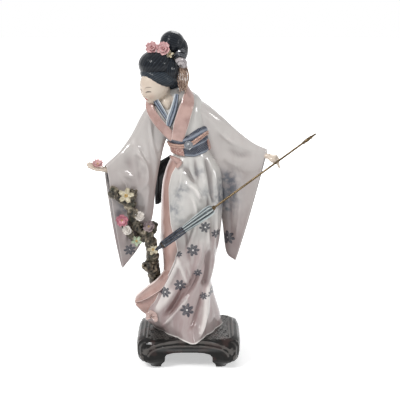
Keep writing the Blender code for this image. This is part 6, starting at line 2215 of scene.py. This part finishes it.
@dataclass
class Hair:
    """The dressed hair: combed masses, a bun, ribbons and a tassel of beads."""

    shop: Workshop
    masses: tuple = (
        ("front", (1.5, 3.5, 22.2), (18.6, 19, 15), 6, (0.62, 0.3, 0.72), Finish.HAIR),
        ("sides", (4, 1.5, 10), (19.6, 18.2, 11.2), -14, (0.55, 0.25, 0.8), Finish.HAIR_SIDES),
        ("lobe", (14.2, 3.5, 15.5), (11.8, 15, 15.8), 0, (0.1, 0.2, 0.97), Finish.HAIR),
        ("nape", (16.5, 12, 2), (9.5, 9, 10), 0, (0.05, 0.5, 0.86), Finish.HAIR_SIDES),
        ("bun", (18.2, 16.5, 41.6), (13.2, 12.8, 13.6), 0, (0.95, -0.1, -0.3), Finish.HAIR),
        ("bun_side", (26.2, 18, 35), (9, 11, 13.2), 0, (0.3, 0.1, 0.95), Finish.HAIR),
        ("bun_foot", (15, 13, 28.5), (8.5, 9, 10), 0, (0.2, 0.1, 0.97), Finish.HAIR),
    )
    loops: tuple = (
        ((-13.5, -8, 344), (-8, -10, 347.5), (-3.5, -8, 344.5), (-6, -9.5, 340.5), (-11.5, -10.5, 340)),
        ((-13, -6, 346), (-7, -6, 351), (-3, -4, 349), (-6.5, -6, 345)),
    )
    folds_below: tuple = (
        ((-12, -11, 340.5), (-7.5, -12.5, 343), (-2.5, -10, 340), (-3, -11, 334)),
        ((-9.5, -13, 338), (-6, -14.5, 339.5), (-3, -12.5, 335)),
    )
    rounds: int = 144
    rows: int = 96
    comb_depth: float = 0.0001
    bead_spacing: float = 0.0015
    bead_radius: float = 0.001

    def mass(self, middle: Sequence[float], half: Sequence[float], tilt: float,
             pole: Sequence[float]) -> Shape:
        """One combed mass, whose strands run from the pole to its opposite.

        Args:
            middle: Its middle, from the head's middle.
            half: Its half sizes.
            tilt: Turn about the y axis, in degrees.
            pole: The way to the point where its strands meet.

        Returns:
            The mass with its "comb" attribute.
        """
        axis = unit(pole)
        side = unit(np.cross(axis, (0.0, 1.0, 0.1)))
        other = np.cross(axis, side)
        lat = np.linspace(0.02, np.pi - 0.02, self.rows)
        lon = full_turn(self.rounds)
        across = np.cos(lon)[:, None] * side + np.sin(lon)[:, None] * other
        way = np.cos(lat)[:, None, None] * axis + np.sin(lat)[:, None, None] * across[None]
        groove = np.sin(lat)[:, None] ** 0.5 * (np.cos(lon * 17) + 0.5 * np.cos(lon * 34 + 1.0))[None]
        reach = 1.0 + groove * self.comb_depth / min(half) * 0.8
        local = way * np.array(half) * reach[..., None]
        turn = np.array(Matrix.Rotation(math.radians(tilt), 3, (0.0, -1.0, 0.0)))
        comb = np.broadcast_to(np.stack([np.cos(lon), np.sin(lon), 0 * lon], -1), (self.rows, self.rounds, 3))
        return Shape.loft(HEAD_MIDDLE + np.array(middle) + local @ turn.T, comb=comb).outward()

    def make(self) -> None:
        """The masses, the ribbons and the tassel."""
        for name, middle, half, tilt, pole, finish in self.masses:
            shape = self.mass(MM * np.array(middle), MM * np.array(half), tilt, pole)
            self.shop.piece("hair_" + name, shape, finish, None, ("head",), crease=80.0)
        self.make_ribbons()
        self.make_tassel()

    def make_ribbons(self) -> None:
        """Dark loops behind the bun and pale folds below it."""
        for k, line in enumerate(self.loops):
            facing = unit((0.3, -0.8, 0.6)) + (0.0, 0.0, 0.2 * k)
            ribbon = self.ribbon(line, facing, 0.004)
            self.shop.piece(f"hair_loop_{k}", ribbon, Finish.SLATE, None, ("head",))
        for k, line in enumerate(self.folds_below):
            ribbon = self.ribbon(line, unit((0.2, -0.9, 0.3)), 0.0038)
            self.shop.piece(f"hair_fold_{k}", ribbon, Finish.RIBBON, "tassel_glaze", ("hair_tassel",))

    @staticmethod
    def ribbon(stops: Sequence[Sequence[float]], facing: np.ndarray, width: float) -> Shape:
        """A flat ribbon of the hair.

        Args:
            stops: The stops of its line, in millimetres.
            facing: The way that it faces.
            width: Its width.

        Returns:
            The ribbon.
        """
        line = curve_through(MM * np.array(stops), 12)
        return Ribbon(line, np.tile(facing, (len(line), 1)), np.full(len(line), width), 0.0016).shape()

    def make_tassel(self) -> None:
        """Strands of beads, repeated along their lines by Geometry Nodes."""
        verts, _ = self.shop.solid("hair_tassel")
        high, low = verts[verts[:, 2].argmax()], verts[verts[:, 2].argmin()]
        middle = verts.mean(axis=0)
        knot_path, knot_reach = rounded_ends(
            np.array([high + (-0.0014, -0.001, -0.0012), high + (0.0026, -0.001, -0.0022)]),
            np.array([0.003, 0.003]))
        self.shop.piece("tassel_knot", bar(knot_path, knot_reach, 24), Finish.RIBBON, "tassel_glaze",
                        ("hair_tassel",))
        for k, spread in enumerate((-0.004, -0.0026, -0.0013, 0.0, 0.0013, 0.0026, 0.004)):
            ahead = -0.0009 * (k % 2)
            start = np.array((high[0] + 0.0006 + spread * 0.6, high[1] - 0.001 + ahead, high[2] + 0.0012))
            end_up = 0.0042 + 0.0011 * ((3 * k) % 5)
            stop = np.array((low[0] + 0.0008 + spread * 0.8, low[1] + 0.0005 + ahead, low[2] + end_up))
            belly = (start + stop) / 2 + (spread * 0.7, (middle[1] - (start[1] + stop[1]) / 2) * 0.8, 0.0)
            mesh = self.beads(f"tassel strand {k}", curve_through((start, belly, stop), 8))
            self.shop.piece(f"tassel_strand_{k}", mesh, Finish.TASSEL, "tassel_glaze", ("hair_tassel",))

    def beads(self, name: str, line: np.ndarray) -> bpy.types.Mesh:
        """Beads along a line.

        Args:
            name: The strand's name.
            line: Its points.

        Returns:
            The strand's mesh.
        """
        graph = Graph(bpy.data.node_groups.new(name + " layout", "GeometryNodeTree"))
        graph.open("INPUT", Geometry="Geometry", Spacing="Float", Bead="Float")
        graph.open("OUTPUT", Geometry="Geometry")
        path, spacing, bead = graph.add("NodeGroupInput").outputs[:3]
        curve = graph.add("GeometryNodeMeshToCurve", {0: path})
        points = graph.add("GeometryNodeResampleCurve", {"Curve": curve.outputs[0]}, mode="LENGTH")
        graph.feed(points.inputs["Length"], spacing)
        ball = graph.add("GeometryNodeMeshIcoSphere", {"Radius": bead, "Subdivisions": 2})
        size = graph.add("FunctionNodeRandomValue", {2: 0.85, 3: 1.15, "Seed": 5})
        strand = graph.add("GeometryNodeInstanceOnPoints", {
            "Points": points.outputs[0], "Instance": ball.outputs["Mesh"], "Scale": size.outputs[1]})
        graph.add("NodeGroupOutput", {0: graph.finish(strand, self.shop.material(Finish.TASSEL))})
        mesh = bpy.data.meshes.new(name)
        mesh.from_pydata(line.tolist(), [(k, k + 1) for k in range(len(line) - 1)], [])
        wanted = {"Spacing": self.bead_spacing, "Bead": self.bead_radius}
        return self.shop.laid_out(name, mesh, graph.tree, wanted)


@dataclass
class Stand:
    """The carved stand: bulging feet, arched aprons, double ridges and florals."""

    shop: Workshop
    width: float = 0.117
    depth: float = 0.08
    height: float = STAND_HEIGHT
    rounds: int = 560
    rows: int = 72
    bead: float = 0.0014
    wall: float = 0.0085
    plate: float = 0.006
    side_arch_share: tuple[float, float] = (0.55, 0.75)
    corner_buds: tuple = ((0.047, 0.0245, 0.0052, 5), (0.0385, 0.03, 0.0034, 4), (0.052, 0.0165, 0.0034, 4))
    profile: tuple = (
        (0, 18.5, 7.5), (0.045, 15, 5), (0.12, 13, 4.2), (0.19, 8.8, 3.5), (0.26, 4.5, 2.2),
        (0.36, 1.5, 0.8), (0.5, 0.2, 0), (0.64, 0.1, 0), (0.78, 0, 0), (0.89, 1.2, 1), (0.96, 3.6, 3),
        (1, 6.8, 5.5),
    )
    arch: Line = (
        (31.5, 0), (30.2, 5.5), (27, 9.2), (26.2, 12.5), (27, 15.5), (24.2, 19.2), (17, 21.2),
        (8.5, 21.8),
    )

    def outline(self, share: np.ndarray, turn: np.ndarray) -> np.ndarray:
        """Points of the stand's side before carving.

        Args:
            share: Share of the height, for all points or each.
            turn: Angles round the stand.

        Returns:
            The points.
        """
        stops, inset_x, inset_y = zip(*self.profile)
        half_x = self.width / 2 - MM * np.interp(share, stops, inset_x)
        half_y = self.depth / 2 - MM * np.interp(share, stops, inset_y)
        c, s = np.cos(turn), np.sin(turn)
        x = np.sign(c) * np.abs(c) ** 0.36 * half_x
        y = np.sign(s) * np.abs(s) ** 0.36 * half_y
        cove = 0.0055 * smooth((0.86 - share) / 0.3) * smooth((0.046 - np.abs(x)) / 0.016)
        y = np.where(np.abs(s) > 0.5, y - np.sign(s) * cove, y)
        return np.stack([x, y, np.broadcast_to(share * self.height, x.shape)], -1)

    def floor_of(self, x: np.ndarray, y: np.ndarray) -> np.ndarray:
        """Height of the arch above each point of the outline, 0 over a foot.

        Args:
            x: Places of the outline.
            y: The same.

        Returns:
            The arch's height at each place.
        """
        xs, zs = MM * np.array(self.arch[::-1]).T
        front = np.interp(np.abs(x), xs, zs, right=0.0)
        side = np.interp(np.abs(y) / self.side_arch_share[0], xs, zs, right=0.0)
        along_front = np.abs(y) > self.depth / 2 - 0.0165
        return np.where(along_front, front, side * self.side_arch_share[1])

    def ridges(self, x: np.ndarray, z: np.ndarray) -> np.ndarray:
        """How proud the double ridges over the front and back aprons stand.

        Args:
            x: Places on the stand's side.
            z: Their heights.

        Returns:
            How proud each place stands, from 0 to 1.
        """
        proud = np.zeros_like(x)
        a = np.pi * np.linspace(0.1, 0.9, 260)
        for drop in (0.0, 0.004):
            half, rise = self.width / 2 - 0.0085 - drop * 1.1, self.height - self.bead - drop
            line_x = np.sign(np.cos(a)) * np.abs(np.cos(a)) ** 0.75 * half
            line_z = 0.006 + np.abs(np.sin(a)) ** 0.55 * (rise - 0.006)
            near = np.full(x.shape, 1.0)
            for px, pz in zip(line_x, line_z):
                near = np.minimum(near, (x - px) ** 2 + (z - pz) ** 2)
            proud = np.maximum(proud, np.sqrt(np.clip(1.0 - near / (self.bead * 1.05) ** 2, 0.0, 1.0)))
        return proud

    def florals(self, x: np.ndarray, y: np.ndarray, z: np.ndarray) -> np.ndarray:
        """Carved leaves and buds at the four upper corners.

        Args:
            x: Places on the stand's side.
            y: The same.
            z: Their heights.

        Returns:
            How proud each place stands.
        """
        total = np.zeros_like(x)
        for sx in (-1.0, 1.0):
            for k, (cx, cz, reach, lobes) in enumerate(self.corner_buds):
                dx, dz = x - sx * cx, z - cz
                distance, angle = np.hypot(dx, dz), np.arctan2(dz, dx)
                edge = reach * (0.66 + 0.34 * np.abs(np.cos(angle * lobes / 2 + k)))
                bud = np.clip(1.0 - (distance / edge) ** 2, 0.0, 1.0) ** 0.5
                bud -= 0.55 * np.exp(-(distance / (reach * 0.22)) ** 2)
                total = np.maximum(total, bud)
        return total * (np.abs(y) > self.depth / 2 - 0.014)

    def top_carving(self, x: np.ndarray, y: np.ndarray) -> np.ndarray:
        """How proud the top stands: two mouldings along each end and carved leaves beside them.

        Args:
            x: Places on the top.
            y: The same.

        Returns:
            How proud each place stands.
        """
        total = sum(np.exp(-((np.abs(x) - self.width / 2 + at) / 0.0013) ** 2) for at in (0.0086, 0.0126))
        total = total * (np.abs(y) < self.depth / 2 - 0.008)
        for k in range(64):
            spot_x = 0.018 + 0.027 * ((k * 0.618) % 1.0)
            spot_y = -0.0325 + 0.065 * ((k * 0.367 + 0.1) % 1.0)
            dx, dy = np.abs(x) - spot_x, y - spot_y
            distance, angle = np.hypot(dx, dy), np.arctan2(dy, dx)
            edge = 0.0044 * (0.55 + 0.45 * np.abs(np.cos(angle * 2.5 + k)))
            leaf = np.clip(1.0 - (distance / edge) ** 2, 0.0, 1.0) ** 0.5 * 0.8
            total = np.maximum(total, leaf - 0.5 * np.exp(-(distance / 0.0009) ** 2))
        return total

    def arch_heights(self, turn: np.ndarray) -> np.ndarray:
        """The height at which each column of the skin meets the arches, 0 on a foot.

        Args:
            turn: The angle of each column.

        Returns:
            The height at each column.
        """
        shares = np.linspace(0.0, 0.62, 250)
        heights = np.zeros(len(turn))
        for share in shares:
            ring = self.outline(np.array(share), turn)
            cut = share * self.height < self.floor_of(ring[:, 0], ring[:, 1])
            heights = np.where(cut, share * self.height, heights)
        return heights

    def skin(self) -> Shape:
        """The stand's outer skin with its hollow underside, as one closed surface.

        Returns:
            The closed stand.
        """
        base = full_turn(self.rounds)
        turn = base - 0.16 * np.sin(4 * base)
        rings, prouds = [], []
        arch = self.arch_heights(turn)
        for step in np.linspace(0.0, 1.0, self.rows):
            share = arch / self.height + (1.0 - arch / self.height) * step
            ring = self.outline(share, turn)
            x, y, z = ring.T
            on_front = smooth((np.abs(y) - (self.depth / 2 - 0.013)) / 0.003)
            ridge = self.ridges(x, z) * on_front
            floral = self.florals(x, y, z) * (1.0 - ridge)
            lumps = 0.25 * np.array([noise.noise(Vector(p) * 170.0) for p in ring])
            mould = sum(np.exp(-((np.abs(y) - self.depth / 2 + at) / 0.0011) ** 2) for at in (0.0055, 0.01))
            mould = mould * (np.abs(x) > self.width / 2 - 0.012) * smooth((0.97 - share) / 0.05)
            push = ridge * self.bead + floral * 0.0012 + lumps * 0.0004 + mould * 0.0008 * (share > 0.25)
            middle = np.stack([x * 0.86, y * 0.86, np.full_like(x, self.height * 0.45)], -1)
            way = ring - middle
            way[:, 2] *= 0.4
            way /= np.linalg.norm(way, axis=1)[:, None]
            limit = np.array((self.width / 2, self.depth / 2 + 0.0012, self.height + self.bead * 0.8))
            rings.append(np.clip(ring + way * push[:, None], -limit * (1.0, 1.0, 0.0), limit))
            prouds.append(np.clip(ridge + 0.9 * floral + mould * 0.7 + lumps, -0.3, 1.2))
        top = []
        edge = self.outline(np.array(1.0), turn)
        for inset in np.concatenate([np.linspace(0.0, 0.5, 70)[1:], np.linspace(0.5, 1.0, 6)[1:]]):
            flat = np.stack([edge[:, 0] * (1 - 0.98 * inset), edge[:, 1] * (1 - 0.98 * inset),
                             np.full(len(edge), self.height)], -1)
            band = self.top_carving(flat[:, 0], flat[:, 1])
            flat[:, 2] += band * 0.0011
            top.append((flat, band))
        rings += [flat for flat, _ in top]
        prouds += [band for _, band in top]
        return self.close_under(np.array(rings), np.array(prouds), arch)

    def close_under(self, rings: np.ndarray, prouds: np.ndarray, arch: np.ndarray) -> Shape:
        """Adds the lip of the feet, the inner wall and the ceiling of the hollow.

        Args:
            rings: The outer skin's rings, from the feet to the middle of the top.
            prouds: How proud the carving stands at each point.
            arch: Height of the arch at each column of the skin.

        Returns:
            The closed stand, with its "proud" attribute.
        """
        outer = rings[0]
        wide_x, wide_y = self.width / 2 - self.wall - 0.004, self.depth / 2 - self.wall - 0.004
        foot_x = MM * self.arch[0][0]
        foot_y = foot_x * self.side_arch_share[0]
        inner_wide = np.stack([np.clip(outer[:, 0], -wide_x, wide_x),
                               np.clip(outer[:, 1], -wide_y, wide_y), arch], -1)
        on_foot = (arch < 0.0002)[:, None]
        inner_foot = np.stack([np.clip(outer[:, 0], -foot_x, foot_x),
                               np.clip(outer[:, 1], -foot_y, foot_y), arch], -1)
        inner = np.where(on_foot, inner_foot, inner_wide)
        lip = (outer + inner) / 2
        lip[:, 2] = arch
        high = inner.copy()
        high[:, 2] = np.maximum(arch + 0.0004, 0.012)
        wide = inner_wide.copy()
        wide[:, 2] = np.maximum(arch + 0.0008, 0.0155)
        ceiling = inner_wide * (1.0, 1.0, 0.0) + (0.0, 0.0, self.height - self.plate)
        shut = ceiling * (0.02, 0.02, 1.0)
        low = np.array([shut, ceiling, wide, high, inner, lip])
        grid = np.concatenate([low, rings])
        shown = np.concatenate([np.zeros(low.shape[:2]) - 0.2, prouds])
        return Shape.loft(grid, proud=shown).outward()

    def make(self) -> None:
        """The stand as one piece."""
        self.shop.piece("carved_stand", self.skin(), Finish.STAND, "stand_glaze", ("stand",),
                        datum=self.shop.stand_datum, crease=60.0)


@dataclass
class Studio:
    """Floor, lamps, background and camera."""

    target: tuple[float, float, float] = (-0.00135, 0.00233, 0.18955)
    distance: float = 1.0
    elevation: float = 17.0
    lens: float = 81.9
    sky: float = 0.4
    lamps: tuple = (
        ((-0.8, -0.9, 1.35), 0.42, 17.0), ((1.2, -0.7, 0.7), 0.35, 5.5), ((0.2, 1.1, 1.3), 0.8, 8.0),
    )

    def make(self) -> None:
        """Builds the studio and sets the camera."""
        self.make_floor()
        self.make_light()
        spot, rise = Vector(self.target), math.radians(self.elevation)
        camera = bpy.data.cameras.new("camera")
        camera.lens, camera.sensor_width = self.lens, 36.0
        obj = placed("camera", camera)
        obj.location = spot + Vector((0.0, -math.cos(rise), math.sin(rise))) * self.distance
        obj.rotation_euler = (math.pi / 2 - rise, 0.0, 0.0)
        bpy.context.scene.camera = obj
        bpy.context.scene.view_settings.view_transform = "Standard"

    def make_floor(self) -> None:
        """A pale floor that keeps the figurine's shadow."""
        mesh = bpy.data.meshes.new("floor")
        mesh.from_pydata([(-3, -3, 0), (3, -3, 0), (3, 3, 0), (-3, 3, 0)], [], [(0, 1, 2, 3)])
        paint = Paint("floor_paper", 0.9)
        x, y, _ = paint.parts_of()
        level = (x * x + y * y).math("SQRT").between(0.25, 1.1) * 0.75 + 0.46
        paint.feed(paint.shader.inputs["Emission Strength"], self.seen_directly(paint) * level)
        paint.feed(paint.shader.inputs["Emission Color"], WHITE)
        mesh.materials.append(paint.done((0.86, 0.86, 0.86)))
        placed("floor", mesh)

    @staticmethod
    def seen_directly(graph: Graph) -> Level:
        """Whether a ray shows the background as white.

        Args:
            graph: The material's or the world's tree.

        Returns:
            One for camera, glossy and transmission rays, and nought for the rest.
        """
        rays = graph.add("ShaderNodeLightPath").outputs
        seen = Level(graph, rays["Is Camera Ray"])
        return seen.math("MAXIMUM", rays["Is Glossy Ray"]).math("MAXIMUM", rays["Is Transmission Ray"])

    def make_light(self) -> None:
        """Soft lamps and an even world, which the camera sees as white."""
        for k, (place, size, power) in enumerate(self.lamps):
            lamp = bpy.data.lights.new(f"softbox {k}", "AREA")
            lamp.shape, lamp.size, lamp.energy = "DISK", size, power
            obj = placed(f"softbox {k}", lamp)
            obj.location = place
            obj.rotation_euler = (Vector(self.target) - Vector(place)).to_track_quat("-Z", "Y").to_euler()
        world = bpy.data.worlds.new("studio")
        world.use_nodes = True
        graph = Graph(world.node_tree)
        plain = graph.tree.nodes["Background"]
        graph.feed(plain.inputs["Color"], WHITE)
        graph.feed(plain.inputs["Strength"], self.sky)
        seen = graph.add("ShaderNodeBackground", {"Color": WHITE, "Strength": 1.0})
        mix = graph.add("ShaderNodeMixShader",
                        {0: self.seen_directly(graph), 1: plain.outputs[0], 2: seen.outputs[0]})
        graph.feed(graph.tree.nodes["World Output"].inputs["Surface"], mix.outputs[0])
        bpy.context.scene.world = world


def main() -> None:
    """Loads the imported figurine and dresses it."""
    logging.basicConfig(level=logging.INFO, format="%(message)s")
    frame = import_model()
    shop = Workshop(frame)
    body = RobeBody(shop)
    body.make()
    Sleeve(shop, "right_sleeve_cloth", RIGHT_SLEEVE, 0.7).make()
    Sleeve(shop, "left_sleeve_cloth", LEFT_SLEEVE, 0.45).make()
    Train(shop).make()
    Collars(shop).make()
    Obi(shop, body).make()
    Bow(shop).make()
    Head(shop).make()
    Hair(shop).make()
    Hands(shop).make()
    Branch(shop).make()
    Blossoms(shop).make()
    Parasol(shop).make()
    Stand(shop).make()
    Studio().make()
    LOG.info("%d pieces", shop.count)


if __name__ == "__main__":
    main()
